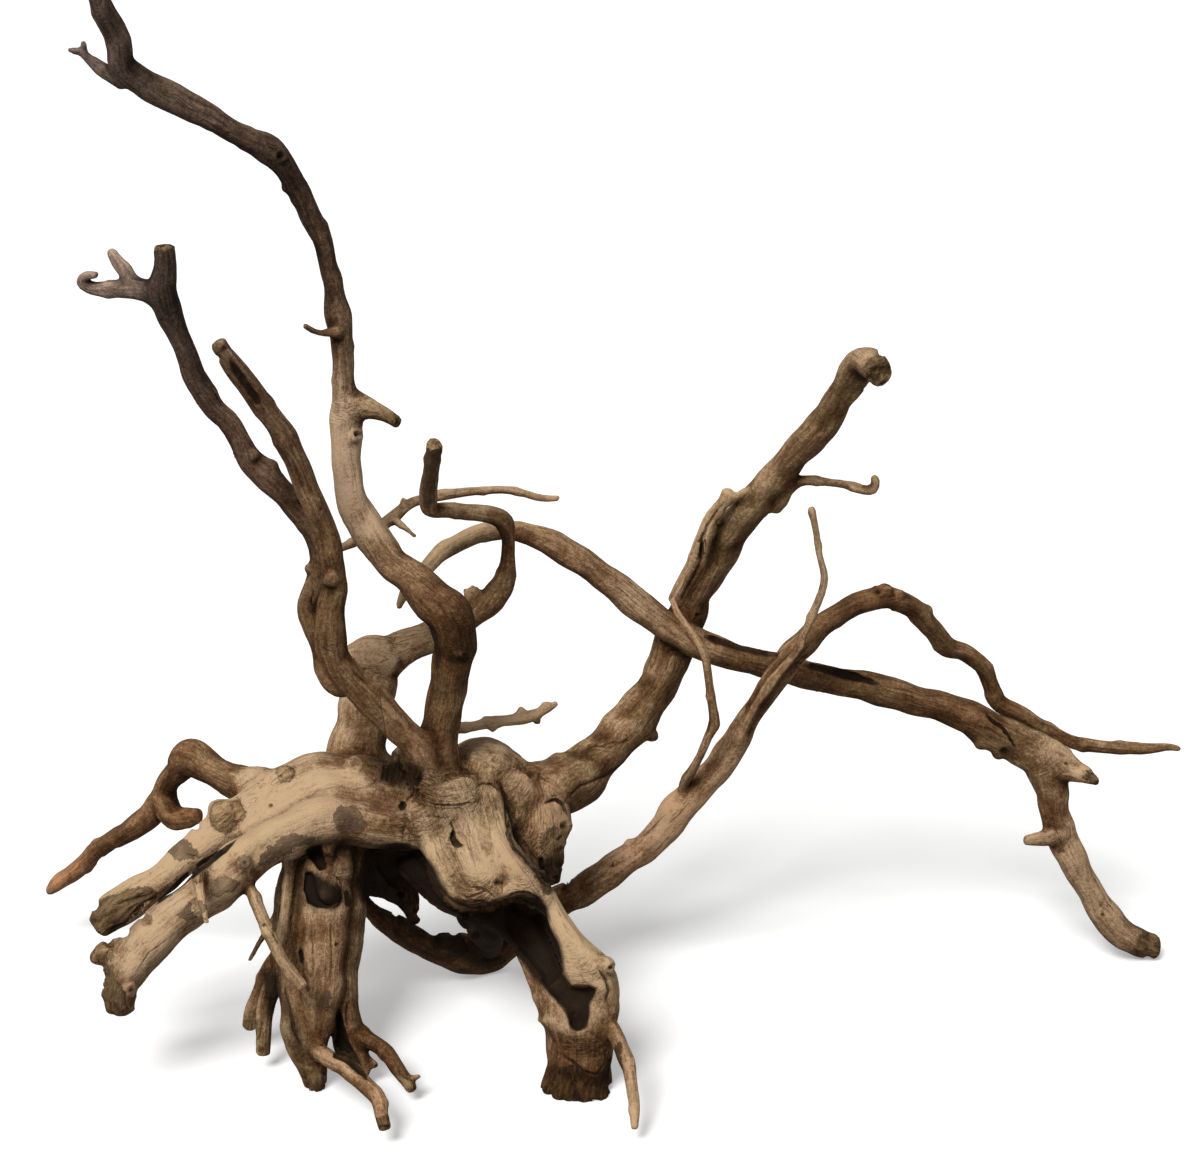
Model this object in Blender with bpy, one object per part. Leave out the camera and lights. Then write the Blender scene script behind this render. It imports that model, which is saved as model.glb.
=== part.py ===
"""A spiderwood root: one piece of sandblasted azalea root, standing on four worn ends.

The root is laid out on a picture plane seen from the front and a little above. Each limb is a
list of stations (across, down, depth, half_width). Across, down and half_width are picture
units of half a millimetre, counted from the picture's top left corner. Depth is millimetres
along +Y, away from the viewer, from the plane that the picture's centre lies in.
"""

import math

import bmesh
import bpy
import numpy as np

MM = 0.001
PICTURE_UNIT = 0.5 * MM  # real size of one picture unit at the picture's centre
PICTURE_CENTRE = (600.0, 584.0)  # picture units
VIEW_DISTANCE = 1300 * MM  # eye to picture centre
VIEW_ELEVATION = math.radians(20.0)
PICTURE_HEIGHT = 218.3 * MM  # picture centre above the surface the root stands on

RING_STEP = 4.0 * MM  # spacing of a limb's rings
TWIG_RADIUS = 4.5 * MM  # thinner limbs get fewer sides
THINNEST_RADIUS = 1.3 * MM  # of any twig
LIMB_SIDES = 18
TWIG_SIDES = 10
FLUTE = 0.06  # height of the lengthwise flutes, as a share of the radius
LUMP = 0.05  # height of the swellings along a limb, as a share of the radius

VOXEL = 1.5 * MM  # grid on which the limbs grow together
SMOOTH_STEPS = 5
TARGET_TRIANGLES = 8600
WOOD_COLOUR = (0.40, 0.27, 0.17, 1.0)
WOOD_ROUGHNESS = 0.8

# The stout middle that every limb leaves.
CROWN = {
    "crown_core": [(392, 800, -52, 30), (430, 800, -54, 38), (480, 790, -48, 40), (522, 792, -40, 32)],
    "crown_plate_left": [(418, 800, -62, 20), (430, 826, -74, 20), (441, 852, -86, 17), (452, 876, -95, 15), (462, 888, -99, 13)],
    "crown_plate_middle": [(452, 796, -70, 26), (466, 830, -84, 24), (477, 858, -93, 22), (488, 880, -100, 18)],
    "crown_plate_right": [(480, 792, -62, 22), (489, 818, -76, 19), (495, 842, -86, 18), (508, 862, -93, 19), (526, 882, -96, 18), (541, 898, -97, 14)],
    "crown_knob_lip": [(453, 892, -101, 9), (466, 896, -105, 11), (481, 896, -106, 12), (496, 893, -104, 9)],
    "crown_scoop_lip": [(500, 894, -104, 7), (518, 889, -103, 8), (533, 891, -101, 8), (546, 899, -99, 8)],
    "crown_back_wall": [(384, 838, -48, 28), (394, 864, -42, 28), (396, 880, -41, 24), (404, 893, -40, 16), (410, 906, -41, 9.5), (415, 922, -42, 6)],
    "crown_inner_wall": [(421, 852, -58, 25), (440, 878, -60, 26), (458, 892, -62, 24), (478, 896, -64, 24)],
    "crown_under_mass": [(482, 898, -64, 24), (484, 916, -56, 22), (487, 930, -42, 20), (488, 944, -22, 18), (487, 955, -6, 15)],
    "crown_under_tooth": [(464, 905, -60, 12), (466, 918, -58, 9), (467, 927, -57, 4)],
    "crown_hump": [(455, 785, -44, 34), (485, 774, -40, 39), (508, 782, -38, 34)],
    "crown_web": [(402, 752, -44, 12), (405, 764, -48, 17), (404, 782, -50, 22)],
    "rear_stump": [(528, 797, -46, 32), (538, 822, -52, 31), (541, 845, -53, 26), (548, 868, -52, 15), (553, 881, -52, 8)],
    "rear_stump_plug": [(544, 846, -54, 11), (556, 838, -62, 14), (560, 834, -70, 12)],
}

# The broad slab on the left, which splits into two broken prongs.
SLAB = {
    "slab_back": [(425, 800, -55, 30), (370, 788, -46, 31), (335, 781, -42, 33), (309, 783, -42, 32), (281, 800, -48, 30), (242, 820, -58, 26), (200, 848, -68, 19), (166, 876, -76, 17), (138, 895, -81, 18), (113, 913, -85, 18), (100, 926, -87, 13.5)],
    "slab_middle": [(420, 815, -60, 28), (370, 805, -55, 34), (325, 802, -54, 34), (285, 820, -61, 30), (252, 842, -72, 24)],
    "slab_front": [(425, 830, -72, 18), (385, 828, -72, 20), (330, 820, -76, 24), (285, 835, -84, 23), (250, 857, -92, 23), (215, 886, -102, 23), (180, 914, -110, 22.5), (150, 941, -116, 22.5), (128, 966, -120, 22.5), (120, 988, -122, 20), (122, 1005, -122, 17)],
    "slab_front_corner": [(152, 935, -112, 18), (124, 949, -112, 15), (101, 955, -112, 15)],
    "slab_twig": [(199, 872, -108, 6), (200, 890, -122, 5), (204, 910, -130, 3.5), (207, 924, -133, 2.5)],
    "slab_spur": [(246, 880, -92, 7), (255, 900, -108, 6.5), (268, 930, -118, 6.5), (284, 962, -124, 6.5), (303, 987, -129, 5.5)],
}

# The two legs in front.
LEGS = {
    "left_leg_outer": [(318, 846, -66, 26), (302, 890, -74, 27), (299, 950, -88, 25), (302, 1000, -101, 23), (305, 1040, -110, 19), (312, 1066, -114, 14.5), (316, 1090, -117, 11)],
    "left_leg_middle": [(330, 846, -68, 26), (322, 895, -82, 27), (320, 950, -94, 26), (320, 1000, -106, 19), (314, 1050, -113, 13)],
    "left_leg_inner": [(346, 846, -58, 26), (342, 900, -68, 26), (339, 950, -82, 23), (339, 1000, -96, 20), (350, 1038, -104, 14), (360, 1058, -110, 10), (367, 1075, -115, 4)],
    "left_leg_split_wall": [(344, 1000, -95, 12), (345, 1040, -102, 12), (350, 1062, -106, 9)],
    "left_leg_brow": [(322, 846, -84, 16), (340, 862, -92, 14), (352, 880, -94, 10), (356, 905, -96, 7)],
    "left_leg_root": [(292, 950, -84, 12), (272, 966, -86, 10), (263, 984, -84, 8.5), (254, 1008, -84, 8.5), (249, 1027, -84, 6.5)],
    "left_leg_spur": [(276, 972, -88, 9), (267, 1004, -94, 9), (264, 1032, -98, 8), (263, 1053, -100, 7.5)],
    "left_leg_thorn": [(286, 905, -80, 5), (268, 928, -84, 3.2), (249, 961, -86, 2.6)],
    "left_toe": [(316, 1050, -114, 9), (328, 1058, -132, 8.5), (345, 1067, -142, 8), (364, 1084, -151, 8), (378, 1099, -159, 8), (382, 1115, -166, 7), (385, 1128, -171, 6.5)],
    "inner_toe": [(350, 1030, -102, 12), (368, 1040, -108, 9), (386, 1053, -116, 7.5), (400, 1072, -124, 7), (412, 1089, -132, 6)],
    "inner_toe_twig": [(406, 1080, -128, 3.5), (420, 1076, -128, 2.6)],
    "inner_splinter": [(358, 1052, -106, 6), (368, 1060, -110, 5), (377, 1066, -113, 3)],
    "right_leg_back": [(496, 900, -62, 24), (514, 918, -66, 29), (533, 946, -77, 28), (549, 972, -90, 22), (562, 990, -97, 26)],
    "right_leg_rim": [(536, 890, -94, 13), (552, 908, -98, 9.5), (561, 925, -102, 11.5), (573, 943, -106, 15), (584, 962, -110, 19), (594, 980, -113, 21), (598, 1000, -113, 20)],
    "right_leg_edge": [(519, 950, -84, 5), (530, 972, -92, 6), (541, 995, -100, 8), (550, 1015, -106, 12)],
    "right_leg": [(566, 985, -101, 28), (578, 1002, -106, 38), (582, 1020, -109, 37), (582, 1050, -112, 33.5), (580, 1075, -114, 31.5), (577, 1094, -117, 31)],
    "right_leg_knob": [(596, 968, -114, 12), (609, 965, -117, 8)],
    "right_leg_tusk": [(604, 1018, -116, 10), (617, 1038, -127, 8), (628, 1066, -141, 7), (634, 1100, -156, 6), (635, 1128, -167, 4)],
}

# The tall stems on the left.
STEMS = {
    "main_stem": [(440, 800, -62, 31), (440, 775, -62, 24), (439, 750, -62, 20), (440, 725, -63, 18.7), (444, 704, -64, 18.5), (449, 685, -65, 18.5), (453, 662, -67, 20.4), (455, 640, -68, 23.2), (447, 616, -67, 24), (429, 597, -64, 21), (408, 575, -60, 19), (389, 562, -56, 18.5), (375, 543, -52, 18.5), (359, 515, -48, 17.5), (349, 488, -46, 16.7), (346, 461, -44, 16), (346, 436, -43, 16), (347, 415, -42, 17), (345, 393, -42, 13.8), (343, 368, -41, 11.3), (342, 339, -40, 11), (339, 314, -40, 14), (335, 292, -40, 11), (329, 268, -41, 9.5), (323, 242, -42, 9.8), (312, 217, -44, 11), (298, 190, -46, 11.5), (285, 168, -50, 11.3), (269, 150, -52, 14), (249, 140, -55, 12), (216, 122, -60, 12.5), (178, 101, -66, 13.5), (142, 81, -72, 14.7), (122, 66, -77, 14), (119, 47, -80, 12.7), (111, 25, -84, 12), (102, 6, -89, 11.5), (96, -8, -92, 10.5)],
    "stem_fork": [(124, 80, -74, 10), (107, 71, -72, 7), (89, 59, -68, 5.2), (81, 52, -66, 4.5), (69, 50, -64, 3.4)],
    "stem_fork_tip": [(84, 54, -66, 3.5), (84, 46, -66, 2.6), (83, 40, -66, 2.5)],
    "stem_hook": [(338, 331, -46, 7), (324, 333, -50, 4), (314, 331, -52, 3.5), (304, 325, -54, 3.5)],
    "stem_stub": [(350, 404, -42, 15), (368, 408, -44, 10.5), (385, 415, -46, 7.7), (398, 423, -48, 6.5)],
    "near_stem": [(432, 775, -66, 22), (415, 744, -70, 18), (400, 729, -74, 15.8), (383, 711, -78, 15.5), (365, 693, -82, 16), (348, 676, -86, 16.5), (335, 658, -88, 16.5), (330, 635, -90, 15.5), (330, 609, -90, 14.8), (335, 584, -90, 14), (332, 558, -89, 12.5), (327, 535, -88, 12.3), (316, 510, -88, 12.7), (304, 479, -88, 12.3), (292, 451, -89, 11.8), (279, 428, -91, 11.5), (262, 405, -93, 11.5), (246, 382, -96, 11), (230, 362, -99, 9), (218, 344, -102, 7.5)],
    "far_stem": [(350, 684, -80, 14), (336, 682, -76, 14), (327, 668, -68, 11.5), (322, 648, -62, 11), (313, 627, -58, 11), (308, 606, -56, 12), (315, 586, -55, 10.3), (320, 561, -54, 10), (316, 538, -53, 11.5), (302, 516, -52, 12), (287, 496, -51, 12.5), (268, 477, -50, 14.4), (250, 461, -49, 13.7), (241, 443, -48, 12), (229, 422, -46, 12), (214, 407, -44, 12), (202, 390, -43, 12.5), (194, 376, -42, 12.3), (188, 359, -41, 12), (182, 344, -40, 12), (176, 328, -39, 12.5), (168, 310, -38, 14.3), (162, 291, -38, 14.7), (164, 268, -37, 12.3), (164, 248, -36, 12)],
    "far_stem_bud": [(320, 572, -54, 7), (306, 568, -56, 4.5)],
    "far_hand": [(164, 300, -38, 13), (143, 289, -34, 12), (122, 289, -30, 10), (102, 289, -27, 7.5), (88, 287, -25, 6), (81, 282, -25, 5.2), (86, 276, -27, 4.7), (96, 275, -30, 4.2)],
    "far_finger": [(132, 283, -32, 9), (127, 274, -30, 6.5), (117, 261, -26, 6), (111, 251, -23, 4.7)],
    "cross_twig": [(322, 554, -52, 5), (344, 547, -42, 5), (365, 536, -32, 5), (385, 523, -24, 6.2), (396, 515, -20, 6.8), (410, 504, -17, 5.7), (425, 499, -14, 5.2), (450, 494, -8, 5.4), (476, 491, -2, 4.8), (502, 490, 4, 4.5), (522, 493, 8, 4.2), (541, 498, 12, 3.8), (558, 498, 15, 3.4)],
    "cross_twig_bud": [(404, 508, -19, 4.5), (403, 498, -20, 2.6)],
    "cross_twig_spur": [(392, 518, -22, 4.5), (404, 527, -26, 3.2), (416, 537, -30, 2.6)],
}

# The rear limb and the hook that it ends in.
REAR = {
    "rear_limb": [(392, 812, -38, 30), (370, 785, -24, 33), (358, 757, -14, 31), (363, 725, -6, 27), (369, 695, 0, 24), (376, 668, 4, 25), (396, 652, 6, 19.5), (421, 641, 4, 15.5), (450, 629, 0, 13.5), (473, 616, -4, 12.5), (488, 604, -8, 12), (500, 589, -11, 11.5), (506, 571, -13, 9.3), (508, 552, -15, 7.5), (508, 536, -17, 7.5), (504, 521, -20, 8.8), (487, 514, -24, 8.8), (464, 512, -29, 8.8), (448, 510, -33, 8.6), (430, 508, -38, 8), (428, 497, -44, 8.5), (430, 477, -54, 8.5), (433, 457, -63, 8.5), (435, 444, -69, 8.3)],
    "rear_shoulder": [(386, 662, 2, 18), (371, 655, 2, 18), (360, 656, 2, 15)],
    "rear_bud": [(464, 613, -4, 7.5), (469, 602, -6, 5), (475, 589, -8, 4.3)],
    "rear_bud_fork": [(469, 600, -6, 4), (465, 589, -6, 2.8)],
    "rear_spike": [(438, 742, -56, 8), (446, 732, -48, 6.5), (457, 728, -42, 6), (474, 726, -36, 5.7), (489, 723, -31, 5.5), (510, 720, -26, 5.5), (527, 717, -22, 6), (542, 711, -19, 5), (557, 703, -16, 3)],
    "rear_spike_spur": [(532, 715, -20, 5), (536, 721, -21, 3)],
    "slab_arm": [(300, 800, -48, 22), (262, 788, -40, 19.5), (236, 781, -33, 17.7), (211, 769, -26, 16.8), (191, 757, -20, 18.2), (178, 770, -16, 13.7), (167, 784, -12, 13), (162, 799, -9, 13.5), (150, 815, -6, 12.5), (125, 833, 4, 11.4), (99, 849, 16, 9.5), (79, 868, 26, 9.7), (60, 882, 34, 8.3), (49, 891, 38, 4.5)],
    "slab_arm_toe": [(163, 797, -12, 13), (172, 815, -16, 12), (186, 817, -20, 10), (198, 815, -24, 8)],
}

# The limbs that reach to the right.
RIGHT = {
    "high_limb": [(500, 800, -58, 30), (535, 793, -42, 31), (568, 784, -26, 29.5), (599, 757, -9, 25.5), (623, 732, 2, 23), (644, 706, 9, 21), (662, 677, 13, 21.5), (674, 647, 15, 20), (688, 611, 16, 19.5), (694, 592, 16, 18.8), (712, 564, 14, 18.2), (728, 534, 10, 18), (754, 503, 2, 17), (774, 480, -6, 15.6), (796, 452, -15, 15), (821, 426, -24, 15.3), (836, 402, -31, 14.6), (850, 382, -38, 15.6), (861, 366, -46, 16.4), (870, 364, -56, 16.4), (877, 372, -70, 16)],
    "high_limb_rib": [(676, 600, 10, 9), (687, 577, 7, 8), (699, 557, 4, 9), (704, 539, 2, 9), (711, 521, 0, 8.5), (719, 508, -2, 7), (726, 498, -4, 5), (728, 491, -5, 4.7)],
    "high_limb_rib_tip": [(716, 508, -1, 6), (728, 503, -4, 4), (738, 496, -5, 3.5), (746, 489, -6, 3)],
    "high_twig": [(774, 508, 0, 8), (785, 494, -5, 6), (796, 483, -7, 5.7), (807, 480, -9, 5.2), (826, 482, -10, 4.6), (846, 485, -11, 4.5), (862, 490, -12, 5), (873, 490, -13, 5), (876, 482, -13, 4.6), (873, 477, -13, 4)],
    "long_root": [(399, 609, -22, 2.5), (402, 598, -21, 5), (410, 584, -20, 7.5), (424, 570, -18, 8.5), (446, 550, -12, 8.7), (480, 533, -3, 9.5), (515, 531, 3, 10.2), (546, 541, 4, 12), (577, 558, 4, 13.7), (605, 579, 4, 14.3), (632, 600, 3, 14.3), (658, 620, 3, 14.3), (684, 637, 3, 14.5), (707, 648, 4, 14), (735, 657, 7, 13.5), (765, 665, 11, 14), (800, 673, 15, 13.2), (840, 682, 18, 14), (888, 692, 20, 14.7), (928, 703, 21, 15), (963, 715, 21, 16.3), (991, 729, 21, 18.5), (1016, 742, 20, 20.5), (1040, 758, 19, 20.8), (1051, 783, 18, 16.7), (1054, 807, 17, 16), (1058, 828, 16, 16.5), (1068, 849, 15, 14.3), (1079, 871, 15, 14), (1093, 897, 15, 14.5), (1106, 917, 15, 15.3), (1122, 932, 15, 14.6), (1140, 943, 16, 15.3), (1153, 947, 17, 14)],
    "long_root_stub": [(1048, 755, 18, 18), (1068, 767, 14, 14), (1083, 774, 10, 10), (1098, 783, 6, 3.5)],
    "long_root_thorn": [(1058, 833, 12, 12), (1042, 838, 6, 8), (1026, 840, 2, 5.5)],
    "hoop_root": [(350, 888, -46, 8), (370, 909, -40, 8), (385, 920, -36, 10.5), (403, 932, -30, 12), (420, 943, -24, 12.5), (440, 951, -17, 13), (462, 958, -9, 14.3), (480, 961, -1, 15), (496, 955, 1, 15), (519, 934, 2, 15), (541, 915, 1, 15.3), (562, 900, -1, 15.3), (581, 890, -3, 15), (602, 876, -5, 14.5), (625, 861, -6, 14.3), (647, 846, -7, 14.5), (664, 827, -8, 14.7), (678, 809, -9, 15.3), (702, 784, -10, 14.7), (724, 758, -11, 13.7), (739, 736, -12, 12.5), (754, 710, -12, 11.7), (772, 683, -12, 12.3), (790, 658, -12, 13.2), (805, 643, -10, 13.2), (822, 625, -6, 12), (843, 611, -1, 10.5), (867, 601, 5, 11.6), (890, 598, 11, 12), (911, 606, 18, 11.2), (929, 626, 24, 10.6), (945, 645, 31, 10.5), (965, 652, 37, 9.3), (982, 667, 41, 9), (990, 684, 44, 8.8), (997, 701, 45, 9.4), (1019, 713, 45, 8.2), (1046, 730, 44, 7.7), (1074, 742, 42, 7.3), (1106, 747, 38, 6.5), (1140, 749, 34, 6.5), (1168, 747, 30, 4.2), (1180, 749, 28, 3)],
    "hoop_shelf": [(441, 943, -20, 10), (458, 945, -14, 12), (476, 950, -8, 12)],
    "hoop_rib": [(737, 742, -17, 5), (751, 714, -19, 4.7), (765, 691, -20, 4.5), (782, 669, -21, 4.5), (797, 650, -22, 4.5), (805, 632, -23, 4.2), (814, 612, -25, 4.3), (822, 590, -27, 4.2), (824, 574, -28, 4.5), (819, 553, -29, 3.8), (816, 530, -30, 3.8), (811, 508, -31, 3.8)],
    "climbing_twig": [(688, 792, -10, 5.5), (683, 785, -15, 4.6), (691, 772, -21, 4.6), (701, 754, -25, 4.6), (708, 738, -27, 4.6), (714, 723, -28, 5), (712, 705, -29, 4.7), (709, 684, -29, 4.7), (706, 660, -29, 4.5), (698, 643, -27, 4.3), (687, 628, -24, 4.2), (677, 613, -20, 4), (672, 599, -15, 3.7)],
}

# Small scars, swellings and snapped twig roots: (across, down, depth, half_width).
KNOTS = [
    (224, 813, -64, 16),
    (282, 776, -48, 9),
    (353, 766, -50, 9),
    (271, 806, -78, 4),
    (246, 862, -108, 5),
    (886, 591, 6, 8),
    (900, 595, 8, 6),
    (926, 611, 20, 6),
    (938, 646, 28, 6),
    (981, 743, 16, 6),
    (998, 753, 16, 7),
    (271, 467, -50, 8),
    (352, 437, -49, 6),
    (288, 188, -48, 7),
    (262, 148, -55, 7),
    (331, 580, -95, 7),
    (652, 736, 4, 6),
    (458, 655, -77, 6),
    (368, 642, -4, 7),
    (630, 846, -8, 7),
]

# Worn hollows, as (stations, depth of the hollow in millimetres).
HOLLOWS = {
    "right_leg_scoop": ([(552, 966, 0, 10), (562, 985, 0, 13), (577, 998, 0, 14), (579, 1018, 0, 11)], 8.0),
    "left_leg_hollow": ([(316, 856, 0, 11), (314, 878, 0, 10), (324, 898, 0, 14)], 5.0),
    "left_leg_split": ([(339, 1008, 0, 3), (341, 1032, 0, 6), (346, 1056, 0, 8), (360, 1074, 0, 5)], 6.0),
    "slab_cleft": ([(236, 842, 0, 3), (212, 858, 0, 5), (188, 875, 0, 6), (162, 900, 0, 8)], 6.0),
    "long_root_gutter": ([(704, 641, 0, 4), (745, 652, 0, 5), (790, 664, 0, 6), (835, 675, 0, 7), (872, 688, 0, 4)], 4.5),
    "near_stem_gutter": ([(236, 366, 0, 3), (256, 394, 0, 5), (272, 416, 0, 3)], 2.5),
    "crown_pit": ([(420, 774, 0, 6), (404, 776, 0, 12), (388, 774, 0, 8)], 4.0),
    "stump_hole": ([(546, 870, 0, 5), (548, 880, 0, 6)], 5.0),
}


def to_space(across, down, depth):
    """The point that the picture shows at (across, down), in the upright plane y = depth (millimetres)."""
    along_x = (np.asarray(across, float) - PICTURE_CENTRE[0]) * PICTURE_UNIT / VIEW_DISTANCE
    along_up = (PICTURE_CENTRE[1] - np.asarray(down, float)) * PICTURE_UNIT / VIEW_DISTANCE
    sine, cosine = math.sin(VIEW_ELEVATION), math.cos(VIEW_ELEVATION)
    eye_y, eye_z = -VIEW_DISTANCE * cosine, VIEW_DISTANCE * sine + PICTURE_HEIGHT
    reach = (np.asarray(depth, float) * MM - eye_y) / (cosine + along_up * sine)
    x, z = along_x * reach, eye_z + (along_up * cosine - sine) * reach
    y = np.asarray(depth, float) * MM + np.zeros_like(x)
    return np.stack([x, y, z], axis=-1), reach / VIEW_DISTANCE


def stations_of(rows):
    """The limb's stations as points and radii in metres."""
    across, down, depth, half_width = np.array(rows, float).T
    points, nearness = to_space(across, down, depth)
    return np.column_stack([points, half_width * PICTURE_UNIT * nearness])


def along_curve(stations, step):
    """A smooth curve through the stations, sampled about every step: points with their radii."""
    padded = np.vstack([2 * stations[0] - stations[1], stations, 2 * stations[-1] - stations[-2]])
    pieces = []
    for i in range(1, len(padded) - 2):
        a, b, c, d = padded[i - 1 : i + 3]
        count = max(1, round(float(np.linalg.norm(c[:3] - b[:3])) / step))
        t = (np.arange(count) / count)[:, None]
        pieces.append(
            0.5 * (2 * b + (c - a) * t + (2 * a - 5 * b + 4 * c - d) * t**2 + (3 * b - a - 3 * c + d) * t**3)
        )
    samples = np.vstack([*pieces, stations[-1:]])
    samples[:, 3] = np.maximum(samples[:, 3], THINNEST_RADIUS)
    return samples


def carried_frames(centres):
    """Two directions across the limb at each ring, carried along it without twisting."""
    tangents = np.gradient(centres, axis=0)
    tangents /= np.linalg.norm(tangents, axis=1)[:, None]
    side = np.cross(tangents[0], (0.0, 0.0, 1.0) if abs(tangents[0][2]) < 0.9 else (1.0, 0.0, 0.0))
    sides = []
    for tangent in tangents:
        side = side - tangent * side.dot(tangent)
        side /= np.linalg.norm(side)
        sides.append(side)
    sides = np.array(sides)
    return tangents, sides, np.cross(tangents, sides)


def limb_mesh(name, rows):
    """A limb: rings with shallow flutes and swellings, closed by a short dome at each end."""
    seed = sum(map(ord, name))
    phases = np.random.default_rng(seed).uniform(0, 2 * math.pi, 6)
    samples = along_curve(stations_of(rows), RING_STEP)
    centres, radii = samples[:, :3], samples[:, 3]
    tangents, sides, ups = carried_frames(centres)
    count = TWIG_SIDES if radii.max() < TWIG_RADIUS else LIMB_SIDES
    angles = np.arange(count) * 2 * math.pi / count
    run = np.arange(len(centres))[:, None] * RING_STEP
    wave = FLUTE * np.cos(3 * angles + phases[0] + run * 18) + 0.6 * FLUTE * np.cos(5 * angles + phases[1] - run * 11)
    wave = wave + LUMP * np.cos(run * 130 + phases[2] + np.cos(angles + phases[3]))
    ring_radii = radii[:, None] * (1 + wave)
    across = np.cos(angles)[None, :, None] * sides[:, None] + np.sin(angles)[None, :, None] * ups[:, None]
    rings = centres[:, None] + across * ring_radii[..., None]
    domes = []
    for end, way in ((0, -1), (-1, 1)):
        for share, reach in ((0.8, 0.45), (0.4, 0.7)):
            shift = tangents[end] * way * reach * radii[end]
            domes.append(centres[end] + shift + across[end] * (ring_radii[end] * share)[:, None])
    rings = np.concatenate([[domes[1], domes[0]], rings, [domes[2], domes[3]]])
    tips = [centres[0] - tangents[0] * 0.78 * radii[0], centres[-1] + tangents[-1] * 0.78 * radii[-1]]
    grid = np.arange(len(rings) * count).reshape(-1, count)
    turned = np.roll(grid, -1, axis=1)
    quads = np.stack([grid[:-1], turned[:-1], turned[1:], grid[1:]], axis=-1).reshape(-1, 4).tolist()
    first_tip = len(rings) * count
    fans = [[turned[0, i], grid[0, i], first_tip] for i in range(count)]
    fans += [[grid[-1, i], turned[-1, i], first_tip + 1] for i in range(count)]
    return np.vstack([rings.reshape(-1, 3), tips]), quads + fans


def knot_rows(across, down, depth, half_width):
    """A knot is a short thick limb that stands a little towards the viewer."""
    return [(across, down, depth + half_width * 0.4, half_width), (across, down - 1, depth - half_width * 0.25, half_width * 0.8)]


def joined_limbs():
    """Every limb and knot in one mesh object, still overlapping one another."""
    groups = [CROWN, SLAB, LEGS, STEMS, REAR, RIGHT]
    limbs = {name: rows for group in groups for name, rows in group.items()}
    for number, knot in enumerate(KNOTS):
        limbs[f"knot_{number:02d}"] = knot_rows(*knot)
    points, faces, offset = [], [], 0
    for name, rows in limbs.items():
        limb_points, limb_faces = limb_mesh(name, rows)
        points.append(limb_points)
        faces += [[offset + corner for corner in face] for face in limb_faces]
        offset += len(limb_points)
    mesh = bpy.data.meshes.new("spiderwood_root")
    mesh.from_pydata(np.vstack(points).tolist(), [], faces)
    mesh.update()
    root = bpy.data.objects.new("spiderwood_root", mesh)
    bpy.context.scene.collection.objects.link(root)
    return root


def bake_modifiers(root):
    """Replaces the mesh by the one that its modifiers give, and removes them."""
    bpy.context.view_layer.update()
    evaluated = root.evaluated_get(bpy.context.evaluated_depsgraph_get())
    baked = bpy.data.meshes.new_from_object(evaluated)
    root.modifiers.clear()
    root.data = baked
    baked.name = root.name


def drop_crumbs(root):
    """Keeps the largest skin: loose crumbs go, and so does the lining of any closed pocket."""
    mesh = bmesh.new()
    mesh.from_mesh(root.data)
    unseen = set(mesh.verts)
    skins = []
    while unseen:
        skin, edge_of_skin = set(), [unseen.pop()]
        while edge_of_skin:
            vertex = edge_of_skin.pop()
            skin.add(vertex)
            for edge in vertex.link_edges:
                other = edge.other_vert(vertex)
                if other in unseen:
                    unseen.remove(other)
                    edge_of_skin.append(other)
        skins.append(skin)
    largest = max(skins, key=len)
    bmesh.ops.delete(mesh, geom=[v for v in mesh.verts if v not in largest], context="VERTS")
    mesh.to_mesh(root.data)
    mesh.free()


def read_points(mesh):
    points = np.empty(len(mesh.vertices) * 3, np.float32)
    mesh.vertices.foreach_get("co", points)
    return points.reshape(-1, 3).astype(float)


def write_points(mesh, points):
    mesh.vertices.foreach_set("co", points.astype(np.float32).ravel())
    mesh.update()


def smoothed(mesh, points, steps):
    """Rounds the creases where limbs meet, without thinning the twigs."""
    edges = np.empty(len(mesh.edges) * 2, np.int64)
    mesh.edges.foreach_get("vertices", edges)
    a, b = edges.reshape(-1, 2).T
    count = np.bincount(np.concatenate([a, b]), minlength=len(points))[:, None]
    for step in range(2 * steps):
        total = np.zeros_like(points)
        for axis in range(3):
            total[:, axis] = np.bincount(a, points[b, axis], len(points)) + np.bincount(b, points[a, axis], len(points))
        points = points + (total / count - points) * (0.55 if step % 2 == 0 else -0.52)
    return points


def hollowed(points, normals):
    """Pushes the near surface back, away from the viewer, inside each hollow's outline on the picture."""
    sine, cosine = math.sin(VIEW_ELEVATION), math.cos(VIEW_ELEVATION)
    eye = np.array([0.0, -VIEW_DISTANCE * cosine, VIEW_DISTANCE * sine + PICTURE_HEIGHT])
    sight = points - eye
    reach = sight[:, 1] * cosine - sight[:, 2] * sine
    facing = np.clip(normals[:, 2] * sine - normals[:, 1] * cosine, 0, 1)
    across = PICTURE_CENTRE[0] + sight[:, 0] / reach * VIEW_DISTANCE / PICTURE_UNIT
    down = PICTURE_CENTRE[1] - (sight[:, 1] * sine + sight[:, 2] * cosine) / reach * VIEW_DISTANCE / PICTURE_UNIT
    push = np.zeros(len(points))
    for rows, depth in HOLLOWS.values():
        line = along_curve(np.array(rows, float), 3.0)
        gap = np.full(len(points), np.inf)
        for x, y, _, half_width in line:
            gap = np.minimum(gap, np.hypot(across - x, down - y) / half_width)
        push = np.maximum(push, depth * MM * np.clip(1 - gap**2, 0, 1) ** 0.7 * np.clip(facing * 2.5, 0, 1))
    return points + (sight / np.linalg.norm(sight, axis=1)[:, None]) * push[:, None]


def read_normals(mesh):
    normals = np.empty(len(mesh.vertices) * 3, np.float32)
    mesh.vertices.foreach_get("normal", normals)
    return normals.reshape(-1, 3).astype(float)


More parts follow.
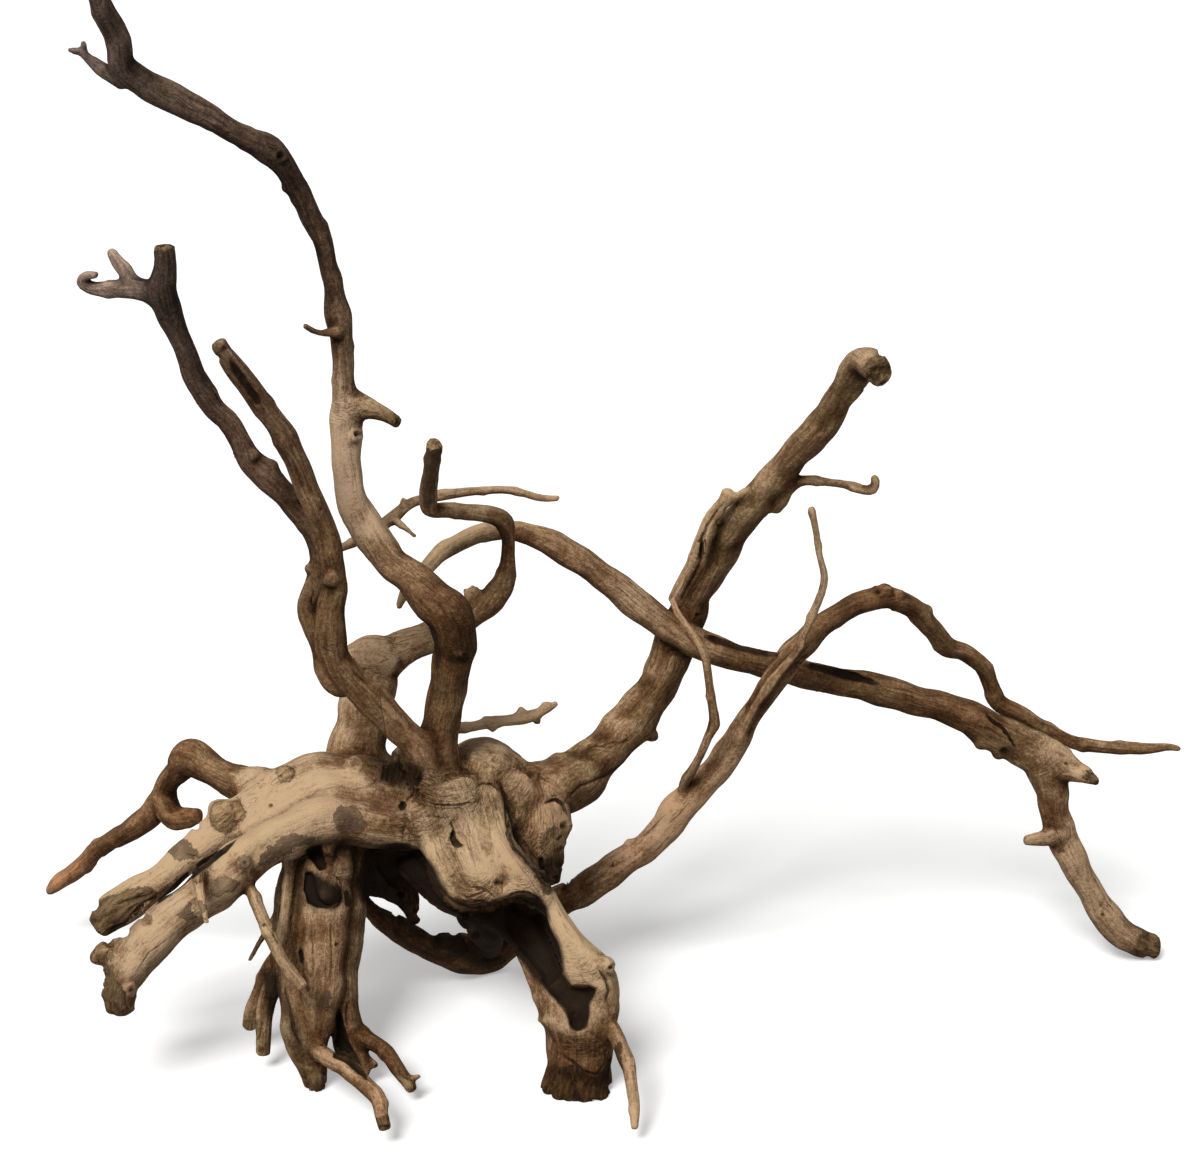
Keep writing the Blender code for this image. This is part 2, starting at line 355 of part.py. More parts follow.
def grow_together(root):
    """One closed skin round all the limbs, with the hollows worn in, at a light triangle count."""
    remesh = root.modifiers.new("one_skin", "REMESH")
    remesh.mode = "VOXEL"
    remesh.voxel_size = VOXEL
    bake_modifiers(root)
    drop_crumbs(root)
    points = smoothed(root.data, read_points(root.data), SMOOTH_STEPS)
    write_points(root.data, points)
    write_points(root.data, hollowed(points, read_normals(root.data)))
    lighten = root.modifiers.new("fewer_faces", "DECIMATE")
    lighten.ratio = TARGET_TRIANGLES / (2 * len(root.data.polygons))
    lighten.use_collapse_triangulate = True
    bake_modifiers(root)


def stand_on_feet(root):
    """Wears the four lowest ends flat at z = 0, and puts the root's middle over the origin."""
    points = read_points(root.data)
    points[:, 2] = np.maximum(points[:, 2], 0.0)
    points[:, :2] -= (points[:, :2].min(axis=0) + points[:, :2].max(axis=0)) / 2
    write_points(root.data, points)


def wood_material():
    wood = bpy.data.materials.new("wood")
    wood.use_nodes = True
    shader = wood.node_tree.nodes["Principled BSDF"]
    shader.inputs["Base Color"].default_value = WOOD_COLOUR
    shader.inputs["Roughness"].default_value = WOOD_ROUGHNESS
    return wood


def build():
    for old in list(bpy.data.objects):
        bpy.data.objects.remove(old)
    root = joined_limbs()
    grow_together(root)
    stand_on_feet(root)
    root.data.materials.clear()
    root.data.materials.append(wood_material())
    root.data.shade_smooth()


build()
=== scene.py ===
# Spiderwood root: bare, sandblasted azalea root, grown as one piece.
# The limbs are drawn on a picture plane seen from the front and a little above, as lists of
# (across, down, depth, halfWidth): across, down and halfWidth in picture units of half a
# millimetre, depth in millimetres away from the viewer.

import math

import bpy
import numpy as np
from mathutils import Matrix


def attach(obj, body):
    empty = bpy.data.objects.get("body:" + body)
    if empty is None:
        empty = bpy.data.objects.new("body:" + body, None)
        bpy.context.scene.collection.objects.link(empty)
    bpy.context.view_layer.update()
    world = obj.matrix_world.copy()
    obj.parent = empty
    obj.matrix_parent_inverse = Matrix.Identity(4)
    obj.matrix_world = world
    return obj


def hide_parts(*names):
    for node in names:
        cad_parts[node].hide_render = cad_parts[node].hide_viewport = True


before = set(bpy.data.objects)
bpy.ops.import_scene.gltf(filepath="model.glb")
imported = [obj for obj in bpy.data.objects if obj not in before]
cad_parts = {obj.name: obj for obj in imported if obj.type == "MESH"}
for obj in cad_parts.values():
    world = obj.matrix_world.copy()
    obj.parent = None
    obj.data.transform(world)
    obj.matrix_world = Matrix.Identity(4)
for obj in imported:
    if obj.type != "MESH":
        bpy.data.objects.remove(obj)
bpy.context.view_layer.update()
print("frame loaded")

pictureView = {
    "unit": 0.0005,  # real size of one picture unit, metres
    "centre": (600.0, 584.0),
    "distance": 1.3,
    "elevation": math.radians(20),
    "height": 0.2183,  # picture centre above the floor
    "shift": (-0.00285, 0.0613),  # puts the root's middle over the origin
    "sensor": 36,
    "clip": (0.05, 20),
}


def addCamera():
    view = pictureView
    camera = bpy.data.objects.new("camera", bpy.data.cameras.new("camera"))
    bpy.context.scene.collection.objects.link(camera)
    reach = view["distance"] * math.cos(view["elevation"])
    rise = view["distance"] * math.sin(view["elevation"])
    camera.location = (view["shift"][0], view["shift"][1] - reach, view["height"] + rise)
    camera.rotation_euler = (math.pi / 2 - view["elevation"], 0, 0)
    camera.data.sensor_width = view["sensor"]
    camera.data.lens = view["sensor"] * view["distance"] / (view["centre"][0] * 2 * view["unit"])
    camera.data.clip_start, camera.data.clip_end = view["clip"]
    bpy.context.scene.camera = camera


addCamera()
print("camera placed")


# The stout middle that every limb leaves
crownLimbs = {
    "crownCore": [(392, 800, -52, 30), (430, 800, -54, 38), (480, 790, -48, 40), (522, 792, -40, 32)],
    "crownPlateLeft": [
        (418, 800, -62, 20), (430, 826, -74, 20), (441, 852, -86, 17), (452, 876, -95, 15), (462, 888, -99, 13),
    ],
    "crownPlateMiddle": [(452, 796, -70, 26), (466, 830, -84, 24), (477, 858, -93, 22), (488, 880, -100, 18)],
    "crownPlateRight": [
        (480, 792, -62, 22), (489, 818, -76, 19), (495, 842, -86, 18), (508, 862, -93, 19), (526, 882, -96, 18),
        (541, 898, -97, 14),
    ],
    "crownKnobLip": [(453, 892, -101, 9), (466, 896, -105, 11), (481, 896, -106, 12), (496, 893, -104, 9)],
    "crownScoopLip": [(500, 894, -104, 7), (518, 889, -103, 8), (533, 891, -101, 8), (546, 899, -99, 8)],
    "crownBackWall": [
        (384, 838, -48, 28), (394, 864, -42, 28), (396, 880, -41, 24), (404, 893, -40, 16), (410, 906, -41, 9.5),
        (415, 922, -42, 6),
    ],
    "crownHang": [(366, 854, -46, 20), (368, 872, -45, 17), (376, 884, -44, 13), (387, 887, -43, 11)],
    "crownInnerWall": [(421, 852, -58, 25), (440, 878, -60, 26), (458, 892, -62, 24), (478, 896, -64, 24)],
    "crownUnderMass": [
        (482, 898, -64, 24), (484, 914, -56, 22), (487, 926, -42, 20), (489, 936, -24, 16), (489, 946, -8, 12),
    ],
    "crownUnderTooth": [(464, 905, -60, 12), (466, 918, -58, 9), (467, 927, -57, 4)],
    "crownHump": [(455, 785, -44, 34), (485, 774, -40, 39), (508, 782, -38, 34)],
    "crownWeb": [(402, 752, -44, 12), (405, 764, -48, 17), (404, 782, -50, 22)],
    "rearStump": [
        (528, 797, -46, 32), (538, 822, -52, 31), (541, 845, -53, 26), (548, 868, -52, 15), (553, 881, -52, 8),
    ],
    "rearStumpPlug": [(544, 848, -54, 11), (556, 838, -60, 13)],
    "rearStumpShard": [(543, 862, -56, 9), (553, 872, -58, 7), (557, 882, -57, 4)],
}

# The broad slab on the left, which splits into two broken prongs
slabLimbs = {
    "slabBack": [
        (425, 800, -55, 30), (370, 788, -46, 31), (335, 781, -42, 33), (309, 783, -42, 32), (281, 800, -48, 30),
        (242, 820, -58, 26), (200, 848, -68, 19), (166, 876, -76, 17), (138, 895, -81, 18), (113, 913, -85, 18),
        (100, 926, -87, 13.5),
    ],
    "slabMiddle": [
        (420, 815, -60, 28), (370, 805, -55, 34), (325, 802, -54, 34), (285, 820, -61, 30), (252, 842, -72, 24),
    ],
    "slabFront": [
        (425, 830, -72, 18), (385, 828, -72, 20), (330, 820, -76, 24), (285, 835, -84, 23), (250, 857, -92, 23),
        (215, 886, -102, 23), (180, 914, -110, 22.5), (150, 941, -116, 22.5), (128, 966, -120, 22.5),
        (120, 988, -122, 20), (122, 1005, -122, 17),
    ],
    "slabFrontCorner": [
        (152, 935, -112, 18), (124, 949, -112, 15), (106, 953, -112, 13.5), (98, 957, -112, 9.5), (92, 957, -112, 6),
    ],
    "slabTwig": [(199, 872, -108, 6), (200, 890, -122, 5), (204, 910, -130, 3.5), (207, 924, -133, 2.5)],
    "slabSpur": [
        (246, 880, -92, 7), (255, 900, -108, 6.5), (268, 930, -118, 6.5), (284, 962, -124, 6.5), (303, 987, -129, 5.5),
    ],
}

# The two legs in front
legLimbs = {
    "leftLegOuter": [
        (318, 846, -66, 26), (302, 890, -74, 27), (299, 950, -88, 25), (302, 1000, -101, 23), (305, 1040, -110, 19),
        (312, 1066, -114, 14.5), (316, 1090, -117, 11),
    ],
    "leftLegMiddle": [
        (330, 846, -68, 26), (322, 895, -82, 27), (320, 950, -94, 26), (320, 1000, -106, 19), (314, 1050, -113, 13),
    ],
    "leftLegInner": [
        (346, 846, -58, 26), (342, 900, -68, 26), (339, 950, -82, 23), (339, 1000, -96, 20), (350, 1038, -104, 14),
        (360, 1058, -110, 10), (367, 1075, -115, 4),
    ],
    "leftLegSplitWall": [(344, 1000, -95, 12), (345, 1040, -102, 12), (350, 1062, -106, 9)],
    "leftLegPlank": [(289, 857, -76, 7), (287, 890, -85, 7), (283, 925, -94, 7), (279, 952, -98, 6)],
    "leftLegStub": [(330, 838, -78, 9), (327, 852, -84, 7)],
    "leftLegRoot": [
        (292, 950, -84, 12), (272, 966, -86, 10), (263, 984, -84, 8.5), (254, 1008, -84, 8.5), (249, 1027, -84, 6.5),
    ],
    "leftLegSpur": [(276, 972, -88, 9), (267, 1004, -94, 9), (264, 1032, -98, 8), (263, 1053, -100, 7.5)],
    "leftLegThorn": [(286, 905, -80, 5), (268, 928, -84, 3.2), (249, 961, -86, 2.6)],
    "leftToe": [
        (316, 1050, -114, 9), (328, 1058, -132, 8.5), (345, 1067, -142, 8), (364, 1084, -151, 8), (378, 1099, -159, 8),
        (382, 1115, -166, 7), (385, 1128, -171, 6.5),
    ],
    "innerToe": [
        (350, 1030, -102, 12), (368, 1040, -108, 9), (386, 1053, -116, 7.5), (400, 1072, -124, 7), (412, 1089, -132, 6),
    ],
    "innerToeTwig": [(406, 1080, -128, 3.5), (420, 1076, -128, 2.6)],
    "innerSplinter": [(358, 1052, -106, 6), (368, 1060, -110, 5), (377, 1066, -113, 3)],
    "rightLegBack": [
        (496, 900, -62, 24), (516, 918, -66, 27), (539, 944, -77, 22), (551, 970, -90, 20), (562, 990, -97, 26),
    ],
    "rightLegRim": [
        (536, 890, -94, 13), (552, 908, -98, 9.5), (561, 925, -102, 11.5), (573, 943, -106, 15), (584, 962, -110, 19),
        (594, 980, -113, 21), (598, 1000, -113, 20),
    ],
    "rightLegEdge": [(519, 950, -84, 5), (530, 972, -92, 6), (541, 995, -100, 8), (550, 1015, -106, 12)],
    "rightLeg": [
        (566, 985, -101, 28), (578, 1002, -106, 38), (582, 1020, -109, 37), (582, 1050, -112, 33.5),
        (580, 1075, -114, 31.5), (577, 1094, -117, 31),
    ],
    "rightLegKnob": [(596, 968, -114, 12), (609, 965, -117, 8)],
    "rightLegTusk": [
        (604, 1018, -116, 10), (617, 1038, -127, 8), (628, 1066, -141, 7), (634, 1100, -156, 6), (635, 1128, -167, 4),
    ],
}

# The tall stems on the left
stemLimbs = {
    "mainStem": [
        (440, 800, -62, 31), (440, 775, -62, 24), (439, 750, -62, 20), (440, 725, -63, 18.7), (444, 704, -64, 18.5),
        (449, 685, -65, 18.5), (453, 662, -67, 20.4), (455, 640, -68, 23.2), (447, 616, -67, 24), (429, 597, -64, 21),
        (408, 575, -60, 19), (389, 562, -56, 18.5), (375, 543, -52, 18.5), (359, 515, -48, 17.5), (349, 488, -46, 16.7),
        (346, 461, -44, 16), (346, 436, -43, 16), (347, 415, -42, 17), (345, 393, -42, 13.8), (343, 368, -41, 11.3),
        (342, 339, -40, 11), (339, 314, -40, 14), (335, 292, -40, 11), (329, 268, -41, 9.5), (323, 242, -42, 9.8),
        (312, 217, -44, 11), (298, 190, -46, 11.5), (285, 168, -50, 11.3), (269, 150, -52, 14), (249, 140, -55, 12),
        (216, 122, -60, 12.5), (178, 101, -66, 13.5), (142, 81, -72, 14.7), (122, 66, -77, 14), (119, 47, -80, 12.7),
        (111, 25, -84, 12), (102, 6, -89, 11.5), (96, -8, -92, 10.5),
    ],
    "stemFork": [(124, 80, -74, 10), (107, 71, -72, 7), (89, 59, -68, 5.2), (81, 52, -66, 4.5), (69, 50, -64, 3.4)],
    "stemForkTip": [(84, 54, -66, 3.5), (84, 46, -66, 2.6), (83, 40, -66, 2.5)],
    "stemHook": [(338, 331, -46, 7), (324, 333, -50, 4), (314, 331, -52, 3.5), (304, 325, -54, 3.5)],
    "stemStub": [(350, 404, -42, 15), (368, 408, -44, 10.5), (385, 415, -46, 7.7), (398, 423, -48, 6.5)],
    "nearStem": [
        (432, 775, -66, 22), (415, 744, -70, 18), (400, 729, -74, 15.8), (383, 711, -78, 15.5), (365, 693, -82, 16),
        (348, 676, -86, 16.5), (335, 658, -88, 16.5), (330, 635, -90, 15.5), (330, 609, -90, 14.8), (335, 584, -90, 14),
        (332, 558, -89, 12.5), (327, 535, -88, 12.3), (316, 510, -88, 12.7), (304, 479, -88, 12.3),
        (292, 451, -89, 11.8), (279, 428, -91, 11.5), (262, 405, -93, 11.5), (246, 382, -96, 11), (230, 362, -99, 9),
        (218, 344, -102, 7.5),
    ],
    "farStem": [
        (350, 684, -80, 14), (336, 682, -76, 14), (327, 668, -68, 11.5), (322, 648, -62, 11), (313, 627, -58, 11),
        (308, 606, -56, 12), (315, 586, -55, 10.3), (320, 561, -54, 10), (316, 538, -53, 11.5), (302, 516, -52, 12),
        (287, 496, -51, 12.5), (268, 477, -50, 14.4), (250, 461, -49, 13.7), (241, 443, -48, 12), (229, 422, -46, 12),
        (214, 407, -44, 12), (202, 390, -43, 12.5), (194, 376, -42, 12.3), (188, 359, -41, 12), (182, 344, -40, 12),
        (176, 328, -39, 12.5), (168, 310, -38, 14.3), (162, 291, -38, 14.7), (164, 268, -37, 12.3), (164, 248, -36, 12),
    ],
    "farStemBud": [(320, 572, -54, 7), (306, 568, -56, 4.5)],
    "farHand": [
        (164, 300, -38, 13), (143, 289, -34, 12), (122, 289, -30, 10), (102, 289, -27, 7.5), (88, 287, -25, 6),
        (81, 282, -25, 5.2), (86, 276, -27, 4.7), (96, 275, -30, 4.2),
    ],
    "farFinger": [(132, 283, -32, 9), (127, 274, -30, 6.5), (117, 261, -26, 6), (111, 251, -23, 4.7)],
    "crossTwig": [
        (322, 554, -52, 5), (344, 547, -42, 5), (365, 536, -32, 5), (385, 523, -24, 6.2), (396, 515, -20, 6.8),
        (410, 504, -17, 5.7), (425, 499, -14, 5.2), (450, 494, -8, 5.4), (476, 491, -2, 4.8), (502, 490, 4, 4.5),
        (522, 493, 8, 4.2), (541, 498, 12, 3.8), (558, 498, 15, 3.4),
    ],
    "crossTwigBud": [(404, 508, -19, 4.5), (403, 498, -20, 2.6)],
    "crossTwigSpur": [(392, 518, -22, 4.5), (404, 527, -26, 3.2), (416, 537, -30, 2.6)],
}

# The rear limb with the hook that it ends in, and the thin arm behind the slab
rearLimbs = {
    "rearLimb": [
        (392, 812, -38, 30), (370, 785, -24, 33), (358, 757, -14, 31), (363, 725, -6, 27), (369, 695, 0, 24),
        (376, 668, 4, 25), (396, 652, 6, 19.5), (421, 641, 4, 15.5), (450, 629, 0, 13.5), (473, 616, -4, 12.5),
        (488, 604, -8, 12), (500, 589, -11, 11.5), (506, 571, -13, 9.3), (508, 552, -15, 7.5), (508, 536, -17, 7.5),
        (504, 521, -20, 8.8), (487, 514, -24, 8.8), (464, 512, -29, 8.8), (448, 510, -33, 8.6), (430, 508, -38, 8),
        (428, 497, -44, 8.5), (430, 477, -54, 8.5), (433, 457, -63, 8.5), (435, 444, -69, 8.3),
    ],
    "rearShoulder": [(392, 660, 2, 19), (374, 654, 2, 20), (358, 657, 2, 16), (350, 668, 1, 14)],
    "rearBud": [(464, 613, -4, 7.5), (469, 602, -6, 5), (475, 589, -8, 4.3)],
    "rearBudFork": [(469, 600, -6, 4), (465, 589, -6, 2.8)],
    "rearSpike": [
        (438, 742, -56, 8), (446, 732, -48, 6.5), (457, 728, -42, 6), (474, 726, -36, 5.7), (489, 723, -31, 5.5),
        (510, 720, -26, 5.5), (527, 717, -22, 6), (542, 711, -19, 5), (557, 703, -16, 3),
    ],
    "rearSpikeSpur": [(532, 715, -20, 5), (536, 721, -21, 3)],
    "slabArm": [
        (300, 800, -48, 22), (262, 788, -40, 19.5), (236, 781, -33, 17.7), (211, 769, -26, 16.8), (191, 757, -20, 18.2),
        (178, 770, -16, 13.7), (167, 784, -12, 13), (162, 799, -9, 13.5), (150, 815, -6, 12.5), (125, 833, 4, 11.4),
        (99, 849, 16, 9.5), (79, 868, 26, 9.7), (60, 882, 34, 8.3), (49, 891, 38, 4.5),
    ],
    "slabArmToe": [(163, 797, -12, 13), (172, 815, -16, 12), (186, 817, -20, 10), (198, 815, -24, 8)],
}

# The limbs that reach to the right
rightLimbs = {
    "highLimb": [
        (500, 800, -58, 30), (535, 793, -42, 31), (568, 784, -26, 29.5), (599, 757, -9, 25.5), (623, 732, 2, 23),
        (644, 706, 9, 21), (662, 677, 13, 21.5), (674, 647, 15, 20), (688, 611, 16, 19.5), (694, 592, 16, 18.8),
        (712, 564, 14, 18.2), (728, 534, 10, 18), (754, 503, 2, 17), (774, 480, -6, 15.6), (796, 452, -15, 15),
        (821, 426, -24, 15.3), (836, 402, -31, 14.6), (850, 382, -38, 15.6), (861, 366, -46, 16.4),
        (870, 364, -56, 16.4), (877, 372, -70, 16),
    ],
    "highLimbRib": [
        (676, 600, 10, 9), (687, 577, 7, 8), (699, 557, 4, 9), (704, 539, 2, 9), (711, 521, 0, 8.5), (719, 508, -2, 7),
        (726, 498, -4, 5), (728, 491, -5, 4.7),
    ],
    "highLimbRibTip": [(716, 508, -1, 6), (728, 503, -4, 4), (738, 496, -5, 3.5), (746, 489, -6, 3)],
    "highTwig": [
        (774, 508, 0, 8), (785, 494, -5, 6), (796, 483, -7, 5.7), (807, 480, -9, 5.2), (826, 482, -10, 4.6),
        (846, 485, -11, 4.5), (862, 490, -12, 5), (873, 490, -13, 5), (876, 482, -13, 4.6), (873, 477, -13, 4),
    ],
    "longRoot": [
        (399, 609, -22, 2.5), (402, 598, -21, 5), (410, 584, -20, 7.5), (424, 570, -18, 8.5), (446, 550, -12, 8.7),
        (480, 533, -3, 9.5), (515, 531, 3, 10.2), (546, 541, 4, 12), (577, 558, 4, 13.7), (605, 579, 4, 14.3),
        (632, 600, 3, 14.3), (658, 620, 3, 14.3), (684, 637, 3, 14.5), (707, 648, 4, 14), (735, 657, 7, 13.5),
        (765, 665, 11, 14), (800, 673, 15, 13.2), (840, 682, 18, 14), (888, 692, 20, 14.7), (928, 703, 21, 15),
        (963, 715, 21, 16.3), (991, 729, 21, 18.5), (1016, 742, 20, 20.5), (1040, 758, 19, 20.8), (1051, 783, 18, 16.7),
        (1054, 807, 17, 16), (1058, 828, 16, 16.5), (1068, 849, 15, 14.3), (1079, 871, 15, 14), (1093, 897, 15, 14.5),
        (1106, 917, 15, 15.3), (1122, 932, 15, 14.6), (1140, 943, 16, 15.3), (1153, 947, 17, 14),
    ],
    "longRootStub": [(1048, 755, 18, 18), (1068, 767, 14, 14), (1083, 774, 10, 10), (1098, 783, 6, 3.5)],
    "longRootThorn": [(1058, 833, 12, 12), (1042, 838, 6, 8), (1026, 840, 2, 5.5)],
    "hoopRoot": [
        (350, 888, -46, 8), (370, 909, -40, 8), (385, 920, -36, 10.5), (403, 932, -30, 12), (420, 943, -24, 12.5),
        (440, 951, -17, 13), (462, 958, -9, 14.3), (480, 961, -1, 15), (496, 955, 1, 15), (519, 934, 2, 15),
        (541, 915, 1, 15.3), (562, 900, -1, 15.3), (581, 890, -3, 15), (602, 876, -5, 14.5), (625, 861, -6, 14.3),
        (647, 846, -7, 14.5), (664, 827, -8, 14.7), (678, 809, -9, 15.3), (702, 784, -10, 14.7), (724, 758, -11, 13.7),
        (739, 736, -12, 12.5), (754, 710, -12, 11.7), (772, 683, -12, 12.3), (790, 658, -12, 13.2),
        (805, 643, -10, 13.2), (822, 625, -6, 12), (843, 611, -1, 10.5), (867, 601, 5, 11.6), (890, 598, 11, 12),
        (911, 606, 18, 11.2), (929, 626, 24, 10.6), (945, 645, 31, 10.5), (965, 652, 37, 9.3), (982, 667, 41, 9),
        (990, 684, 44, 8.8), (997, 701, 45, 9.4), (1019, 713, 45, 8.2), (1046, 730, 44, 7.7), (1074, 742, 42, 7.3),
        (1106, 747, 38, 6.5), (1140, 749, 34, 6.5), (1168, 747, 30, 4.2), (1180, 749, 28, 3),
    ],
    "hoopShelf": [(441, 943, -20, 10), (458, 945, -14, 12), (476, 950, -8, 12)],
    "hoopRib": [
        (737, 742, -17, 5), (751, 714, -19, 4.7), (765, 691, -20, 4.5), (782, 669, -21, 4.5), (797, 650, -22, 4.5),
        (805, 632, -23, 4.2), (814, 612, -25, 4.3), (822, 590, -27, 4.2), (824, 574, -28, 4.5), (819, 553, -29, 3.8),
        (816, 530, -30, 3.8), (811, 508, -31, 3.8),
    ],
    "climbingTwig": [
        (688, 792, -10, 5.5), (683, 785, -15, 4.6), (691, 772, -21, 4.6), (701, 754, -25, 4.6), (708, 738, -27, 4.6),
        (714, 723, -28, 5), (712, 705, -29, 4.7), (709, 684, -29, 4.7), (706, 660, -29, 4.5), (698, 643, -27, 4.3),
        (687, 628, -24, 4.2), (677, 613, -20, 4), (672, 599, -15, 3.7),
    ],
}

# Swellings and snapped twig roots: (across, down, depth, halfWidth)
swellings = [
    (224, 813, -64, 16), (282, 776, -48, 9), (353, 766, -50, 9), (271, 806, -78, 4), (246, 862, -108, 5),
    (886, 591, 6, 8), (900, 595, 8, 6), (926, 611, 20, 6), (938, 646, 28, 6), (981, 743, 16, 6), (998, 753, 16, 7),
    (271, 467, -50, 8), (352, 437, -49, 6), (288, 188, -48, 7), (262, 148, -55, 7), (331, 580, -95, 7),
    (652, 736, 4, 6), (458, 655, -77, 6), (630, 846, -8, 7), (487, 722, -31, 7), (493, 729, -31, 4), (521, 711, -23, 5),
    (537, 721, -20, 4.5), (546, 707, -18, 6), (274, 240, -46, 5), (203, 398, -46, 6), (252, 456, -54, 8),
    (340, 312, -42, 7), (296, 500, -55, 6), (606, 880, -6, 5), (735, 700, -14, 7), (800, 640, -12, 6), (868, 600, 2, 7),
    (1008, 742, 16, 7), (1070, 860, 12, 7), (700, 560, 8, 8), (452, 494, -9, 5), (428, 502, -12, 5), (356, 540, -28, 5),
]

# Where limbs have grown into one broad, even surface, as outlines on the picture
evenedPlaces = [
    [
        (240, 826), (232, 806), (262, 774), (300, 752), (350, 744), (392, 750), (414, 788), (412, 846), (372, 842),
        (330, 838), (300, 842), (272, 858), (256, 852), (262, 838),
    ],
    [(428, 815), (498, 812), (508, 850), (540, 886), (500, 886), (466, 888), (444, 868), (424, 840)],
    [(520, 812), (560, 808), (566, 822), (556, 850), (530, 852), (516, 834)],
]

# Hollows open towards the viewer, as an outline on the picture: (points, depth mm, rim width, darkness of the painted
# shade inside)
hollows = {
    "rightLegScoop": ([
        (503, 905), (520, 896), (540, 899), (546, 906), (551, 930), (561, 945), (564, 972), (572, 984), (590, 985),
        (597, 988), (592, 1000), (590, 1015), (586, 1028), (578, 1031), (570, 1027), (567, 1014), (556, 1001),
        (547, 990), (540, 976), (530, 960), (516, 946), (506, 928),
    ], 7, 6, 0.0),
    "caveWall": ([
        (376, 850), (395, 843), (410, 845), (421, 853), (429, 862), (433, 872), (439, 885), (446, 896), (455, 902),
        (466, 905), (474, 910), (470, 920), (456, 916), (433, 908), (420, 897), (404, 892), (388, 884), (376, 868),
    ], 6, 3, 0.0),
    "crownPocket": ([
        (380, 768), (392, 761), (408, 762), (420, 768), (424, 778), (414, 784), (402, 790), (390, 787), (380, 780),
    ], 4, 10, 0.0),
    "crownSlot": ([(413, 781), (418, 776), (424, 775), (422, 781), (416, 787)], 5, 2, 0.9),
    "crownDimple": ([
        (451, 832), (455, 830), (456, 838), (459, 843), (464, 846), (458, 849), (452, 845), (450, 838),
    ], 2.6, 1.6, 0.85),
    "crownPit": ([(398, 806), (402, 801), (407, 805), (404, 810), (400, 810)], 3, 1.6, 0.85),
    "leftLegTop": ([
        (306, 850), (313, 846), (321, 845), (323, 853), (324, 861), (327, 868), (320, 871), (314, 864), (309, 858),
    ], 4, 2, 0.9),
    "leftLegSide": ([
        (305, 873), (311, 872), (316, 880), (317, 890), (320, 899), (327, 905), (334, 906), (328, 909), (318, 908),
        (308, 903), (304, 890),
    ], 4, 2.5, 0.9),
    "leftLegEye": ([(344, 892), (348, 890), (351, 896), (352, 904), (349, 908), (345, 905)], 2.5, 2, 0.75),
    "leftLegSlit": ([(299, 946), (302, 951), (303, 958), (303, 966), (300, 962), (298, 955)], 4, 1.5, 1.0),
    "leftLegSplit": ([
        (338, 1006), (341, 1012), (344, 1022), (348, 1040), (354, 1052), (362, 1064), (369, 1081), (358, 1074),
        (346, 1063), (334, 1057), (334, 1044), (337, 1030), (335, 1018),
    ], 6, 3, 0.85),
    "longRootGutter": ([
        (697, 633), (714, 637), (735, 642), (758, 647), (776, 652), (779, 656), (768, 657), (750, 653), (733, 649),
        (714, 643),
    ], 3, 2.2, 0.75),
    "longRootHollow": ([
        (796, 662), (812, 663), (830, 666), (846, 670), (860, 675), (874, 681), (884, 686), (870, 684), (854, 681),
        (838, 677), (820, 672), (804, 667),
    ], 3.2, 2.4, 0.75),
    "nearStemGutter": ([
        (228, 356), (236, 364), (244, 375), (252, 386), (259, 397), (262, 405), (257, 404), (249, 394), (240, 381),
        (232, 369),
    ], 2.4, 2.4, 0.6),
    "stumpHole": ([(538, 860), (542, 856), (544, 868), (550, 876), (551, 884), (544, 882), (539, 872)], 6, 2, 1.0),
    "slabCleft": ([
        (238, 838), (226, 845), (215, 853), (206, 857), (198, 863), (182, 876), (170, 888), (160, 897), (156, 905),
        (166, 899), (186, 884), (204, 870), (226, 853),
    ], 5, 3, 0.95),
}
